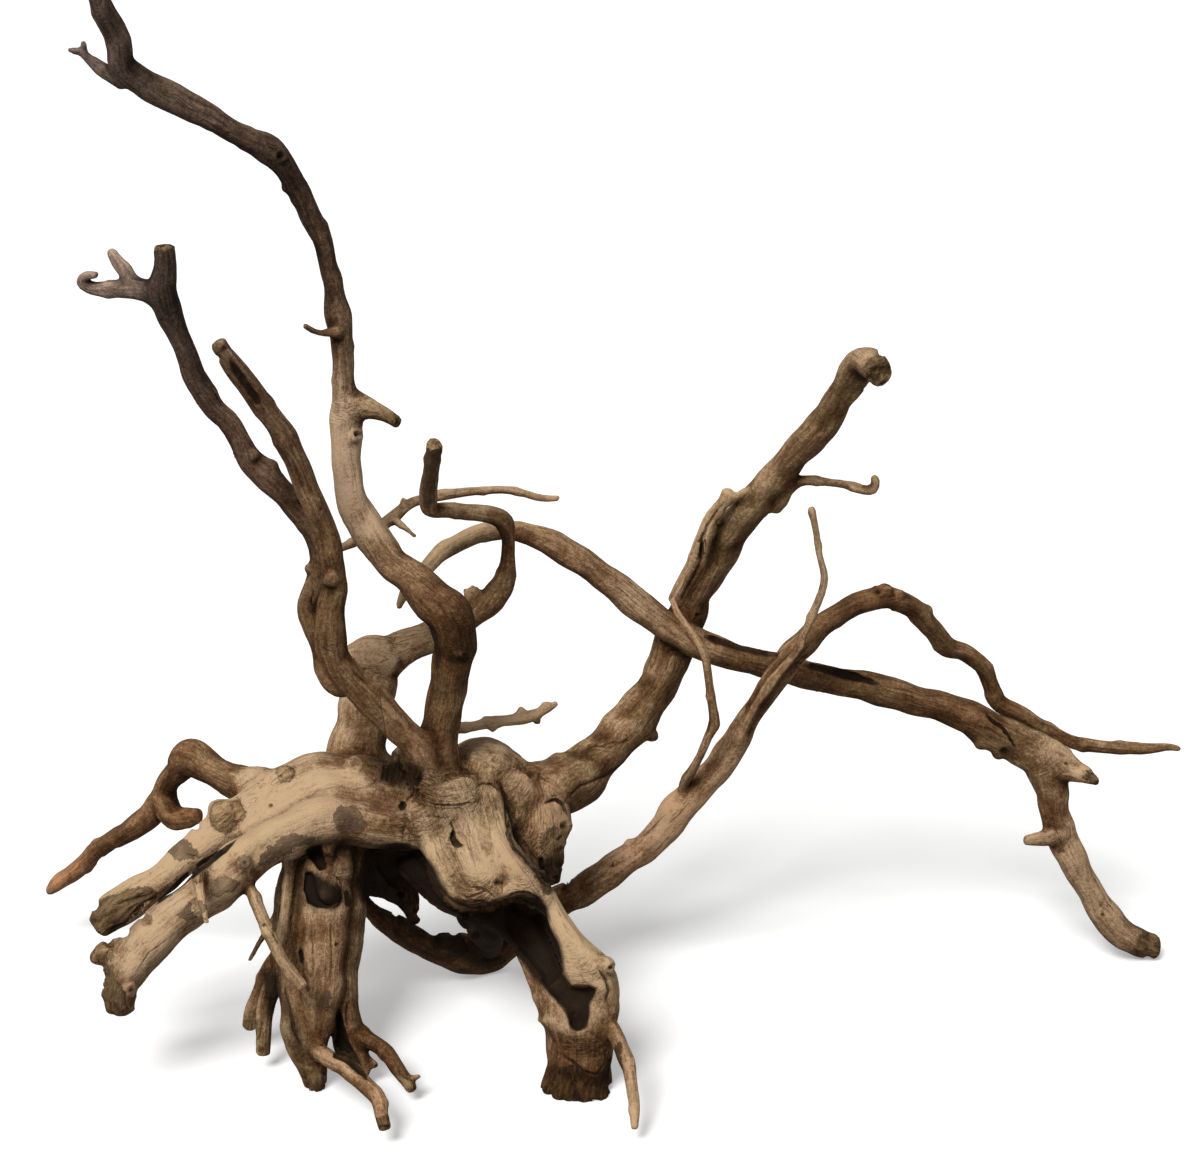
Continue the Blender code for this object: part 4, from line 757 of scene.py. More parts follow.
limbShape = {
    "ringStep": 0.0018,  # metres between rings
    "sides": 30,
    "twigSides": 14,
    "twigRadius": 0.0045,
    "thinnest": 0.0012,
    "flute": 0.05,  # share of the radius
    # lengthwise flutes: how many, which phase, turn per metre, strength
    "flutes": ((2, 5, 9, 1.0), (3, 0, 18, 0.8), (5, 1, -11, 0.5)),
    "lump": 0.07,  # swellings, share of the radius
    "lumpWaves": (130, 310),  # turns of their two waves per metre
    "knuckle": 0.22,  # swellings at the old buds of thin twigs, share of the radius
    "knuckleGap": 0.026,
    "knuckleShake": (0.007, 90),  # unevenness of that gap: metres, turn per metre
    "knuckleLength": 0.1,  # share of that gap
    "knuckleLean": (0.8, 200),  # share that is on one side only, turn per metre
    "domes": ((0.96, 0.16), (0.78, 0.30)),  # (share of the ring, reach in radii) of the blunt ends
    "domeTip": 0.34,
}


def limbWave(angles, run, radii, phases):
    # how far the skin stands out, as a share of the radius, at each angle and ring
    shape = limbShape
    wave = shape["flute"] * sum(
        strength * np.cos(number * angles + phases[order] + run * turn)
        for number, order, turn, strength in shape["flutes"]
    )
    longWave, shortWave = shape["lumpWaves"]
    wave = wave + shape["lump"] * (
        np.cos(run * longWave + phases[2] + np.cos(angles + phases[3]))
        + 0.5 * np.cos(run * shortWave + phases[4] + 2 * np.cos(angles + phases[5]))
    )
    (shake, shakeTurn), (lean, leanTurn) = shape["knuckleShake"], shape["knuckleLean"]
    bud = ((run + shake * np.cos(run * shakeTurn + phases[3])) / shape["knuckleGap"] + phases[2]) % 1 - 0.5
    thin = np.clip(1.5 - radii[:, None] / shape["twigRadius"], 0, 1)
    swelling = shape["knuckle"] * thin * np.exp(-((bud / shape["knuckleLength"]) ** 2))
    return wave + swelling * (1 + lean * np.cos(angles + phases[4] + run * leanTurn))


def sweepLimb(name, rows):
    # rings of radius r * (1 + flutes + swellings + knuckles) round a smooth curve, closed by
    # short domes; the flutes turn slowly as they run along the limb
    shape = limbShape
    phases = np.random.default_rng(sum(map(ord, name))).uniform(0, 2 * math.pi, 6)
    samples = alongCurve(stationsOf(rows), shape["ringStep"], shape["thinnest"])
    centres, radii = samples[:, :3], samples[:, 3]
    tangents, sides, ups = carriedFrames(centres)
    count = shape["twigSides"] if radii.max() < shape["twigRadius"] else shape["sides"]
    angles = np.arange(count) * 2 * math.pi / count
    run = np.arange(len(centres))[:, None] * shape["ringStep"]
    ringRadii = radii[:, None] * (1 + limbWave(angles, run, radii, phases))
    outward = np.cos(angles)[None, :, None] * sides[:, None] + np.sin(angles)[None, :, None] * ups[:, None]
    rings = centres[:, None] + outward * ringRadii[..., None]
    caps, tips = [], []
    for end, way in ((0, -1), (-1, 1)):
        for share, reach in shape["domes"]:
            middle = centres[end] + tangents[end] * way * reach * radii[end]
            caps.append(middle + outward[end] * (ringRadii[end] * share)[:, None])
        tips.append(centres[end] + tangents[end] * way * shape["domeTip"] * radii[end])
    startNear, startFar, endNear, endFar = caps
    return closedTube(np.concatenate([[startFar, startNear], rings, [endNear, endFar]]), tips)


def closedTube(rings, tips):
    # quads between neighbouring rings, and a fan of triangles to each tip
    ringCount, count = rings.shape[:2]
    grid = np.arange(ringCount * count).reshape(ringCount, count)
    turned = np.roll(grid, -1, axis=1)
    quads = np.stack([grid[:-1], turned[:-1], turned[1:], grid[1:]], axis=-1).reshape(-1, 4)
    first = ringCount * count
    fans = np.concatenate([
        np.stack([turned[0], grid[0], np.full(count, first)], axis=-1),
        np.stack([grid[-1], turned[-1], np.full(count, first + 1)], axis=-1),
    ])
    return np.vstack([rings.reshape(-1, 3), tips]), quads, fans


def addMesh(name, points, faceLists):
    mesh = bpy.data.meshes.new(name)
    mesh.from_pydata(points.tolist(), [], [face for faces in faceLists for face in faces.tolist()])
    mesh.update()
    piece = bpy.data.objects.new(name, mesh)
    bpy.context.scene.collection.objects.link(piece)
    return piece


def readPoints(mesh, what="co"):
    values = np.empty(len(mesh.vertices) * 3, np.float32)
    mesh.vertices.foreach_get(what, values)
    return values.reshape(-1, 3).astype(float)


def writePoints(mesh, points):
    mesh.vertices.foreach_set("co", points.astype(np.float32).ravel())
    mesh.update()


def applyModifiers(piece):
    bpy.context.view_layer.update()
    evaluated = piece.evaluated_get(bpy.context.evaluated_depsgraph_get())
    mesh = bpy.data.meshes.new_from_object(evaluated)
    piece.modifiers.clear()
    piece.data = mesh


def voxelRemesh(piece, size):
    remesh = piece.modifiers.new("oneSkin", "REMESH")
    remesh.mode = "VOXEL"
    remesh.voxel_size = size
    applyModifiers(piece)


def edgePairs(mesh):
    pairs = np.empty(len(mesh.edges) * 2, np.int64)
    mesh.edges.foreach_get("vertices", pairs)
    return pairs.reshape(-1, 2).T


def neighbourCount(pairs, size):
    return np.maximum(np.bincount(np.concatenate(pairs), minlength=size), 1)[:, None]


def neighbourMean(values, pairs, count):
    first, second = pairs
    total = [
        np.bincount(first, column[second], len(values)) + np.bincount(second, column[first], len(values))
        for column in values.T
    ]
    return np.stack(total, axis=1) / count


def smoothPoints(points, pairs, steps):
    # one step in and one step out, so creases soften and twigs keep their thickness
    count = neighbourCount(pairs, len(points))
    for step in range(2 * steps):
        points = points + (neighbourMean(points, pairs, count) - points) * woodShape["smoothing"][step % 2]
    return points


def fillCreases(points, normals, pairs, steps, pull, where=1.0):
    # only hollow places move, outwards, as wood grows over the crotch between two limbs
    count = neighbourCount(pairs, len(points))
    for _ in range(steps):
        pulled = neighbourMean(points, pairs, count) - points
        outward = (pulled * normals).sum(axis=1)[:, None]
        sideways = pulled - normals * outward
        move = normals * np.maximum(outward, 0) * pull + sideways * woodShape["creaseSlide"]
        points = points + move * where
    return points


sightCells = {
    "size": 3,  # picture units
    "across": 420,
    "down": 410,
    "empty": 9.0,  # metres, farther than any wood
}

# How far behind the nearest wood skin may lie, in metres, to be carved, marked, or reached by
# painted shade, hollows and nicks, and how squarely it has to face the viewer
sightLimits = {"carved": 0.02, "marked": 0.006, "sheltered": 0.035, "facing": 0.02}


def seenFromFront(points, normals):
    # how far each point lies behind the nearest one in its picture cell, and how far it faces
    # the viewer
    cells = sightCells
    across, down, reach, sight = toPicture(points)
    cellX = np.clip((across / cells["size"]).astype(int), 0, cells["across"] - 1) + 1
    cellY = np.clip((down / cells["size"]).astype(int), 0, cells["down"] - 1) + 1
    nearest = np.full((cells["across"] + 2, cells["down"] + 2), cells["empty"])
    np.minimum.at(nearest, (cellX, cellY), reach)
    steps = (-1, 0, 1)
    around = np.minimum.reduce([np.roll(nearest, (i, j), (0, 1)) for i in steps for j in steps])
    facing = np.clip(-(normals * sight).sum(axis=1), 0, 1)
    return across, down, sight, facing, reach - around[cellX, cellY]


def besideLine(x, y, line):
    # for each point: shortest distance to a broken line, the side of it (-1 or 1), and how far
    # along the line that place is, from 0 to 1
    gap, side, along = np.full(len(x), np.inf), np.ones(len(x)), np.zeros(len(x))
    lengths = [math.hypot(bx - ax, by - ay) for (ax, ay), (bx, by) in zip(line[:-1], line[1:])]
    done = 0.0
    for (ax, ay), (bx, by), length in zip(line[:-1], line[1:], lengths):
        dx, dy = bx - ax, by - ay
        t = np.clip(((x - ax) * dx + (y - ay) * dy) / length**2, 0, 1)
        distance = np.hypot(x - ax - t * dx, y - ay - t * dy)
        nearer = distance < gap
        gap = np.where(nearer, distance, gap)
        side = np.where(nearer, np.where(dx * (y - ay) > dy * (x - ax), 1.0, -1.0), side)
        along = np.where(nearer, (done + t * length) / sum(lengths), along)
        done += length
    return gap, side, along


def signedDepth(x, y, outline):
    # distance to the outline, positive inside it and negative outside
    inside = np.zeros(len(x), bool)
    for (ax, ay), (bx, by) in zip(outline, outline[1:] + outline[:1]):
        crosses = (ay > y) != (by > y)
        inside ^= crosses & (x < (bx - ax) * (y - ay) / (by - ay if by != ay else 1e-9) + ax)
    return besideLine(x, y, outline + outline[:1])[0] * np.where(inside, 1, -1)


def nearBox(x, y, outline, reach):
    xs, ys = np.array(outline, float).T
    inX, inY = (x > xs.min() - reach) & (x < xs.max() + reach), (y > ys.min() - reach) & (y < ys.max() + reach)
    return np.nonzero(inX & inY)[0]


def ramp(distance, reach):
    # 0.5 on an outline, 1 from reach inside it, 0 from reach outside it
    return np.clip(0.5 + distance / (2 * reach), 0, 1)


# How the picture place is shaken: (noise per metre, picture units), wide and fine
pictureShake = ((170, 1.3), (700, 0.4))


def raggedPicture(points, across, down):
    # the picture place, shaken a little, so that rims and cracks are not drawn with a ruler
    (wide, wideBy), (fine, fineBy) = pictureShake
    return [
        place + wideBy * layeredNoise(points * wide, seed) + fineBy * layeredNoise(points * fine, seed + 1, 2)
        for place, seed in ((across, 3), (down, 5))
    ]


def carveHollows(points, normals):
    # hollows go in along the line of sight, as far as share^0.6 of their depth, where share
    # rises from 0 at the outline to 1 at the rim's inner edge; bosses come out as a dome
    across, down, sight, facing, behind = seenFromFront(points, normals)
    seen = (behind < sightLimits["carved"]) & (facing > sightLimits["facing"])
    x, y = raggedPicture(points, across, down)
    push = np.zeros(len(points))
    for outline, depth, rim, _ in hollows.values():
        near = nearBox(x, y, outline, 2)
        near = near[seen[near]]
        share = np.clip(signedDepth(x[near], y[near], outline) / rim, 0, 1)
        push[near] = np.maximum(push[near], depth * millimetre * share**0.6)
    points = points + sight * push[:, None]
    for centreX, centreY, size, height in bosses:
        near = nearBox(x, y, [(centreX, centreY)], size)
        near = near[seen[near]]
        gap = np.hypot(x[near] - centreX, y[near] - centreY) / size
        dome = millimetre * height * np.clip(1 - gap**2, 0, 1) ** 0.8
        points[near] += (0.6 * normals[near] - 0.4 * sight[near]) * dome[:, None]
    return points


def evenOut(points, normals, pairs):
    # the creases between limbs that share one surface are filled until it is nearly flat
    across, down, _, facing, behind = seenFromFront(points, normals)
    shape, share = woodShape, np.zeros(len(points))
    for outline in evenedPlaces:
        near = nearBox(across, down, outline, shape["evenEdge"])
        near = near[(behind[near] < sightLimits["carved"]) & (facing[near] > 0)]
        inside = ramp(signedDepth(across[near], down[near], outline), shape["evenEdge"])
        share[near] = np.maximum(share[near], inside)
    return fillCreases(points, normals, pairs, shape["evenSteps"], shape["evenPull"], share[:, None])


limbGroups = [crownLimbs, slabLimbs, legLimbs, stemLimbs, rearLimbs, rightLimbs]
nearGroups = limbGroups[:3]
allLimbs = {name: rows for group in limbGroups for name, rows in group.items()}

woodShape = {
    "firstVoxel": 0.0011,
    "fineVoxel": 0.00075,
    "smoothing": (0.55, -0.52),  # share of the way to the neighbours' mean, in and out by turns
    "creaseSteps": 16,
    "creasePull": 0.8,
    "creaseSlide": 0.3,
    "evenSteps": 70,
    "evenPull": 0.9,
    "evenEdge": 8,  # picture units over which it fades
    "triangles": 195000,
    "farTriangles": 70000,  # of those, on the stems and the right-hand and rear limbs
    "guideStep": 0.003,
    "guideBlock": 20000,  # points looked up at once
}


def limbGuide():
    # every limb as spaced samples: place, radius, directions, run along the limb and limb number
    rows = []
    for number, stations in enumerate(allLimbs.values()):
        samples = alongCurve(stationsOf(stations), woodShape["guideStep"], limbShape["thinnest"])
        tangents, sides, ups = carriedFrames(samples[:, :3])
        gaps = np.linalg.norm(np.diff(samples[:, :3], axis=0), axis=1)
        run = np.concatenate([[0], np.cumsum(gaps)])
        rows.append(np.column_stack([samples, tangents, sides, ups, run, run / run[-1], np.full(len(run), number)]))
    return np.vstack(rows)


def alongLimbs(points, guide):
    # the limb each point belongs to, by the least distance^2 - radius^2, and its place in that
    # limb's own frame: offset to the side, offset up, run along it
    centres, radii = guide[:, :3], guide[:, 3]
    weight = (centres**2).sum(axis=1) - radii**2
    best, block = np.empty(len(points), np.int64), woodShape["guideBlock"]
    for start in range(0, len(points), block):
        part = points[start : start + block]
        best[start : start + block] = np.argmin(weight - 2 * part @ centres.T, axis=1)
    centre, radius, tangent, side, up, run, share, number = np.split(guide[best], (3, 4, 7, 10, 13, 14, 15), axis=1)
    offset = points - centre
    forward = (offset * tangent).sum(axis=1)
    local = [(offset * side).sum(axis=1), (offset * up).sum(axis=1), run[:, 0] + forward]
    return {
        "local": np.column_stack(local),
        "share": share[:, 0],
        "number": number[:, 0].astype(int),
        "radius": radius[:, 0],
        "tangent": tangent,
        "offset": offset - tangent * forward[:, None],
    }


# What is drawn on the skin, as levels from 0 to 1, but for out and slide, which move it
markNames = ("out", "cavity", "cavityLevel", "shade", "bark", "torn", "pale", "crack", "crackSide", "wrinkle")

markShape = {
    "farFromCrack": 9.0,
    "hollowEdge": 3,  # picture units over which it fades
    "patchEdge": 7,
    "crackWidest": 6,
    "crackNarrowest": 0.3,
    "grooveNarrowest": 2.2,
    "crackShake": (0.35, 420),
    "knotReach": 2.2,  # times the knot's radius
    "knotRing": (0.8, 0.35),  # place and width, in radii
    "knotRipple": (0.25, 14),
    "knotShake": (0.4, 420),
    "wrinkleHeight": 0.0011,
    "wrinkleShake": (2.5, 90),
    "splitDepth": 0.0009,
    "scarHeight": 0.0009,
    "barkStep": 0.00022,
    "lumpHeight": 0.0011,
    "grainHeight": 0.00022,
    "tornHeight": 0.0026,
    "splinter": 0.003,  # how far torn fibres fall short of the limb's end
    "barkRadius": 0.008,  # the thinnest wood, in metres, that hidden bark and scars are on
    "scarRadius": 0.006,
    "stoutRadius": 0.01,  # wood thinner than these has lower swellings and flutes
    "fluteRadius": 0.006,
}

# Noises per metre; a pair is across and along the limb
markNoises = {
    "split": (150, 8),
    "splitPlaces": 20,
    "oldBark": np.array([34, 34, 24]),
    "scar": 75,
    "swelling": 38,
    "smallSwelling": 110,
    "flute": (230, 9),
    "smallFlute": (520, 20),
    "shred": (330, 70),
    "tornLump": 130,
    "fibre": 260,
}


def nearShown(skin, outline, reach, shown="seen"):
    near = nearBox(skin["x"], skin["y"], outline, reach)
    return near[skin[shown][near]]


def insideOf(skin, near, outline, edge):
    return ramp(signedDepth(skin["x"][near], skin["y"][near], outline), edge)


def centreGap(skin, near, centreX, centreY):
    return np.hypot(skin["x"][near] - centreX, skin["y"][near] - centreY)


def takeOver(marks, near, stronger, values):
    # where the new mark is stronger than what is drawn there already, it takes its place
    for name, value in values.items():
        taken = stronger[:, None] if marks[name].ndim > 1 else stronger
        marks[name][near] = np.where(taken, value, marks[name][near])


def grainNoise(skin, name, turn, seed, layers=3):
    # noise drawn out along the limb, a different one on each limb
    across, along = markNoises[name]
    stretch = np.array([across, across, along])
    return layeredNoise(skin["local"] * stretch + skin["number"][:, None] * turn, seed, layers)


def markHollows(skin, marks):
    # painted shade: the darkness inside each hollow, and each shade outline
    for outline, _, _, dark in hollows.values():
        near = nearShown(skin, outline, 4, "sheltered")
        shape = insideOf(skin, near, outline, markShape["hollowEdge"])
        takeOver(marks, near, shape > marks["cavity"][near], {"cavity": shape, "cavityLevel": dark})
    for outline, dark, soft in shades:
        near = nearShown(skin, outline, soft, "sheltered")
        shade = dark * insideOf(skin, near, outline, soft)
        marks["shade"][near] = np.maximum(marks["shade"][near], shade)


def markPatches(skin, marks):
    for name, patches in (("bark", [(outline, 0.0) for outline in barkPatches]), ("torn", tornPatches)):
        for outline, pale in patches:
            near = nearShown(skin, outline, 8)
            shape = insideOf(skin, near, outline, markShape["patchEdge"])
            marks[name][near] = np.maximum(marks[name][near], shape)
            marks["pale"][near] = np.maximum(marks["pale"][near], pale * np.minimum(shape * 1.6, 1))


def markCracks(skin, marks):
    # a crack tapers to its ends; the skin falls in beside it, and its colour is drawn by how
    # many of its half widths a point lies beside it
    shape, points = markShape, skin["points"]
    shakeBy, shake = shape["crackShake"]
    for line, halfWidth, depth, dark in cracks:
        near = nearShown(skin, line, 8)
        gap, side, along = besideLine(skin["x"][near], skin["y"][near], line)
        uneven = 1 + shakeBy * layeredNoise(points[near] * shake, 33, 2)
        taper = np.sqrt(np.clip(4 * along * (1 - along), 0.02, 1)) * uneven
        width = np.maximum(halfWidth * taper, shape["crackNarrowest"])
        groove = np.clip(1 - gap / np.maximum(width, shape["grooveNarrowest"]), 0, 1)
        marks["out"][near] -= depth * millimetre * taper * groove
        power = dark * np.clip(taper * 1.3, 0, 1) * np.clip((shape["crackWidest"] - gap) / 2, 0, 1)
        stronger = gap / width < np.abs(marks["crackSide"][near])
        takeOver(marks, near, stronger, {"crackSide": side * gap / width, "crack": power})


def markKnots(skin, marks):
    # a rippled ring round a sunken eye, whose darkness is painted shade in the pit
    shape = markShape
    (shakeBy, shake), (ringPlace, ringWidth), (rippleBy, ripple) = (
        shape["knotShake"], shape["knotRing"], shape["knotRipple"]
    )
    for centreX, centreY, size, height, depth in knots:
        near = nearShown(skin, [(centreX, centreY)], shape["knotReach"] * size)
        uneven = 1 + shakeBy * cellNoise(skin["points"][near] * shake, 41)
        gap = centreGap(skin, near, centreX, centreY) * uneven
        ring = np.exp(-(((gap / size - ringPlace) / ringWidth) ** 2)) * (1 + rippleBy * np.cos(gap / size * ripple))
        eyeSize = max(0.3 * size, 1.4)
        marks["out"][near] += millimetre * (height * ring - depth * np.exp(-((gap / eyeSize) ** 2)))
        eye, level = ramp(eyeSize * min(depth, 1) - gap, 3), min(0.5 + 0.15 * depth, 0.85)
        takeOver(marks, near, eye > marks["cavity"][near], {"cavity": eye, "cavityLevel": level})


def markWrinkles(skin, marks):
    # wrinkles are a noise squeezed across their direction, and shaken so that they run unevenly
    shakeBy, shake = markShape["wrinkleShake"]
    for order, (outline, turn, spacing, height, bend) in enumerate(wrinkleBands):
        near = nearShown(skin, outline, 8)
        middleX, middleY = np.array(outline, float).mean(axis=0)
        dx, dy = skin["x"][near] - middleX, skin["y"][near] - middleY
        cosine, sine = math.cos(math.radians(turn)), math.sin(math.radians(turn))
        across, along = dx * cosine + dy * sine, dy * cosine - dx * sine
        uneven = shakeBy * layeredNoise(skin["points"][near] * shake, 35, 2)
        squeezed = (across + bend * along**2 / 12 + uneven) / spacing
        shape = insideOf(skin, near, outline, markShape["patchEdge"]) * min(height * 2, 1)
        stronger = shape > marks["wrinkle"][near]
        folds = np.column_stack([squeezed, along / (5 * spacing), np.full(len(near), order * 7.7)])
        takeOver(marks, near, stronger, {"wrinkle": shape, "wrinklePlace": folds})
        relief = markShape["wrinkleHeight"] * height * shape
        marks["out"][near] += relief * layeredNoise(folds * 1.5, 39, 2) * stronger


def markHiddenSides(skin, marks):
    # the sides that the photograph does not show get cracks, scars and bark of the same kind
    shape, noises, points, radius = markShape, markNoises, skin["points"], skin["radius"]
    hidden = 1 - skin["seen"].astype(float)
    streak = grainNoise(skin, "split", 7.3, 11)
    somewhere = np.clip(cellNoise(points * noises["splitPlaces"], 12) * 3 - 1.0, 0, 1)
    split = np.clip(1 - np.abs(streak) / 0.05, 0, 1) * somewhere
    marks["out"] -= shape["splitDepth"] * split * hidden
    marks["cavity"] = np.maximum(marks["cavity"], hidden * split * 0.62)
    unset = (hidden * split > 0.05) & (marks["cavityLevel"] == 0)
    marks["cavityLevel"] = np.where(unset, 0.7, marks["cavityLevel"])
    old = np.clip((layeredNoise(points * noises["oldBark"], 13) - 0.5) * 5 + 0.5, 0, 1)
    marks["bark"] = np.maximum(marks["bark"], old * (radius > shape["barkRadius"]) * hidden)
    scar = np.clip((layeredNoise(points * noises["scar"], 17, 2) - 0.66) * 8, 0, 1)
    marks["out"] += shape["scarHeight"] * (scar * (radius > shape["scarRadius"])) * hidden


def addRelief(skin, marks):
    # low swellings, flutes along the grain, torn fibres, and the step at the edge of bark
    shape, noises, points, radius = markShape, markNoises, skin["points"], skin["radius"]
    stout = np.clip(radius / shape["stoutRadius"], 0.25, 1)
    broad = layeredNoise(points * noises["swelling"], 21)
    small = layeredNoise(points * noises["smallSwelling"], 22, 2)
    marks["out"] += shape["lumpHeight"] * stout * (0.6 * broad + 0.6 * small)
    flute = grainNoise(skin, "flute", 3.1, 23) + 0.5 * grainNoise(skin, "smallFlute", 0, 24, 2)
    marks["out"] += shape["grainHeight"] * flute * np.clip(radius / shape["fluteRadius"], 0.3, 1)
    shred = np.abs(grainNoise(skin, "shred", 5.7, 29))
    rough = 0.55 * layeredNoise(points * noises["tornLump"], 31) - 0.7 * shred
    marks["out"] += marks["torn"] * shape["tornHeight"] * rough
    marks["out"] += shape["barkStep"] * np.clip((marks["bark"] - 0.4) * 5, 0, 1)


def slideEnds(skin, marks):
    # torn fibres fall short of the limb's end by different lengths
    endNearness = np.clip((skin["share"] - 0.5) * 2, 0, 1)
    fibre = np.column_stack([skin["local"][:, :2] * markNoises["fibre"], skin["number"] * 5.5])
    short = np.clip(0.5 + 0.9 * layeredNoise(fibre, 37, 2), 0, 1)
    back = -markShape["splinter"] * marks["torn"] * endNearness * short
    marks["slide"] = skin["tangent"] * back[:, None]
    # a nick draws the skin towards the limb's middle, most in the nick's centre
    for centreX, centreY, size, share in nicks:
        near = nearShown(skin, [(centreX, centreY)], size, "sheltered")
        gap = centreGap(skin, near, centreX, centreY) / size
        marks["slide"][near] -= skin["offset"][near] * (share * np.clip(1 - gap**2, 0, 1))[:, None]


def marksOf(points, normals, guide):
    # the marks of every point, and where on the picture and along its limb it lies
    across, down, _, facing, behind = seenFromFront(points, normals)
    x, y = raggedPicture(points, across, down)
    skin = {
        "points": points,
        "x": x,
        "y": y,
        "seen": (behind < sightLimits["marked"]) & (facing > sightLimits["facing"]),
        "sheltered": behind < sightLimits["sheltered"],
        **alongLimbs(points, guide),
    }
    marks = {name: np.zeros(len(points)) for name in markNames}
    marks["crackSide"] += markShape["farFromCrack"]
    marks["wrinklePlace"] = np.zeros((len(points), 3))
    for draw in (markHollows, markPatches, markCracks, markKnots, markWrinkles, markHiddenSides, addRelief, slideEnds):
        draw(skin, marks)
    return marks, skin


shelterShape = {
    "cell": 0.0035,
    "steps": 14,
    "ways": 26,
    "lift": 1.6,  # cells off the skin at which the walk starts
}


def occlusionShadeOf(points, normals):
    # the share of directions round the normal in which wood lies close by, found by walking
    # through a coarse grid of cells that hold skin; the wood's colour is darkened by it as painted shade
    cell, steps, ways = shelterShape["cell"], shelterShape["steps"], shelterShape["ways"]
    low = points.min(axis=0) - 3 * cell
    shape = np.ceil((points.max(axis=0) - low) / cell).astype(int) + 3
    filled = np.zeros(shape, bool)
    filled[tuple(((points - low) / cell).astype(int).T)] = True
    # directions spread evenly over a ball, along a spiral that turns by the golden angle
    order = np.arange(ways) + 0.5
    height, turn = 1 - 2 * order / ways, order * math.pi * (3 - math.sqrt(5))
    flat = np.sqrt(1 - height**2)
    total, most = np.zeros(len(points)), np.zeros(len(points))
    for way in np.column_stack([flat * np.cos(turn), flat * np.sin(turn), height]):
        weight, met = np.clip(normals @ way, 0, 1), np.zeros(len(points))
        for stride in range(1, steps):
            spots = ((points + normals * shelterShape["lift"] * cell + way * stride * cell - low) / cell).astype(int)
            met = np.maximum(met, filled[tuple(np.clip(spots, 0, shape - 1).T)] * (1 - stride / steps))
        total += weight * met
        most += weight
    return total / most


def swellingRows(across, down, depth, halfWidth):
    back = (across, down, depth + halfWidth * 0.4, halfWidth)
    front = (across, down - 1, depth - halfWidth * 0.25, halfWidth * 0.8)
    return [back, front]


def makeWood():
    limbs = [sweepLimb(name, rows) for name, rows in allLimbs.items()]
    limbs += [sweepLimb(f"swelling{order}", swellingRows(*place)) for order, place in enumerate(swellings)]
    starts = np.cumsum([0] + [len(points) for points, _, _ in limbs])
    wood = addMesh(
        "rootWood",
        np.vstack([points for points, _, _ in limbs]),
        [faces + start for start, (_, quads, fans) in zip(starts, limbs) for faces in (quads, fans)],
    )
    print("limbs swept:", len(limbs))
    voxelRemesh(wood, woodShape["firstVoxel"])
    points, normals, pairs = readPoints(wood.data), readPoints(wood.data, "normal"), edgePairs(wood.data)
    points = fillCreases(points, normals, pairs, woodShape["creaseSteps"], woodShape["creasePull"])
    points = evenOut(points, normals, pairs)
    points = smoothPoints(points, pairs, 2)
    writePoints(wood.data, points)
    writePoints(wood.data, carveHollows(points, readPoints(wood.data, "normal")))
    print("limbs grown together:", len(wood.data.vertices), "points")
    voxelRemesh(wood, woodShape["fineVoxel"])
    keepLargestSkin(wood)
    points = smoothPoints(readPoints(wood.data), edgePairs(wood.data), 2)
    writePoints(wood.data, points)
    guide = limbGuide()
    normals = readPoints(wood.data, "normal")
    marks, skin = marksOf(points, normals, guide)
    points = points + normals * marks["out"][:, None] + marks["slide"]
    points[:, 2] = np.maximum(points[:, 2], 0)
    writePoints(wood.data, points)
    print("relief carved:", len(points), "points")
    # the limbs far from the middle are thinned first, so that the middle keeps more faces
    far = np.nonzero(skin["number"] >= sum(map(len, nearGroups)))[0]
    farFaces = 2 * len(wood.data.polygons) * len(far) / len(points)
    group = wood.vertex_groups.new(name="farLimbs")
    group.add(far.tolist(), 1.0, "REPLACE")
    thinFaces(wood, 1 - (farFaces - woodShape["farTriangles"]) / (2 * len(wood.data.polygons)), "farLimbs")
    wood.vertex_groups.clear()
    thinFaces(wood, woodShape["triangles"] / len(wood.data.polygons))
    return wood, guide


def thinFaces(piece, ratio, group=""):
    thin = piece.modifiers.new("fewerFaces", "DECIMATE")
    thin.ratio = min(ratio, 1)
    thin.vertex_group = group
    thin.use_collapse_triangulate = True
    applyModifiers(piece)
    print("faces after thinning:", len(piece.data.polygons))


def keepLargestSkin(piece):
    # loose crumbs and the linings of closed pockets go; skins are told apart by passing the
    # lowest point number round each of them
    pairs = edgePairs(piece.data)
    label = np.arange(len(piece.data.vertices))
    while True:
        lowest = label.copy()
        np.minimum.at(lowest, pairs[0], label[pairs[1]])
        np.minimum.at(lowest, pairs[1], label[pairs[0]])
        lowest = lowest[lowest]
        if (lowest == label).all():
            break
        label = lowest
    keep = label == np.bincount(label).argmax()
    corners = np.empty(len(piece.data.loops), np.int64)
    piece.data.loops.foreach_get("vertex_index", corners)
    faces = corners.reshape(-1, 4)
    faces = faces[keep[faces[:, 0]]]
    number = np.cumsum(keep) - 1
    mesh = bpy.data.meshes.new(piece.name)
    mesh.from_pydata(readPoints(piece.data)[keep].tolist(), [], number[faces].tolist())
    mesh.update()
    piece.data = mesh


paintShape = {
    "fieldSteps": 24,
    "fieldShare": 0.7,  # how much of the neighbours' mean each step takes in
    "grainSteps": 6,
    "grainShare": 0.6,
    "foldSteps": 14,
    "foldDepth": 0.0012,
    "unknownTone": ((0.5,), (0.1, 0.1)),
}


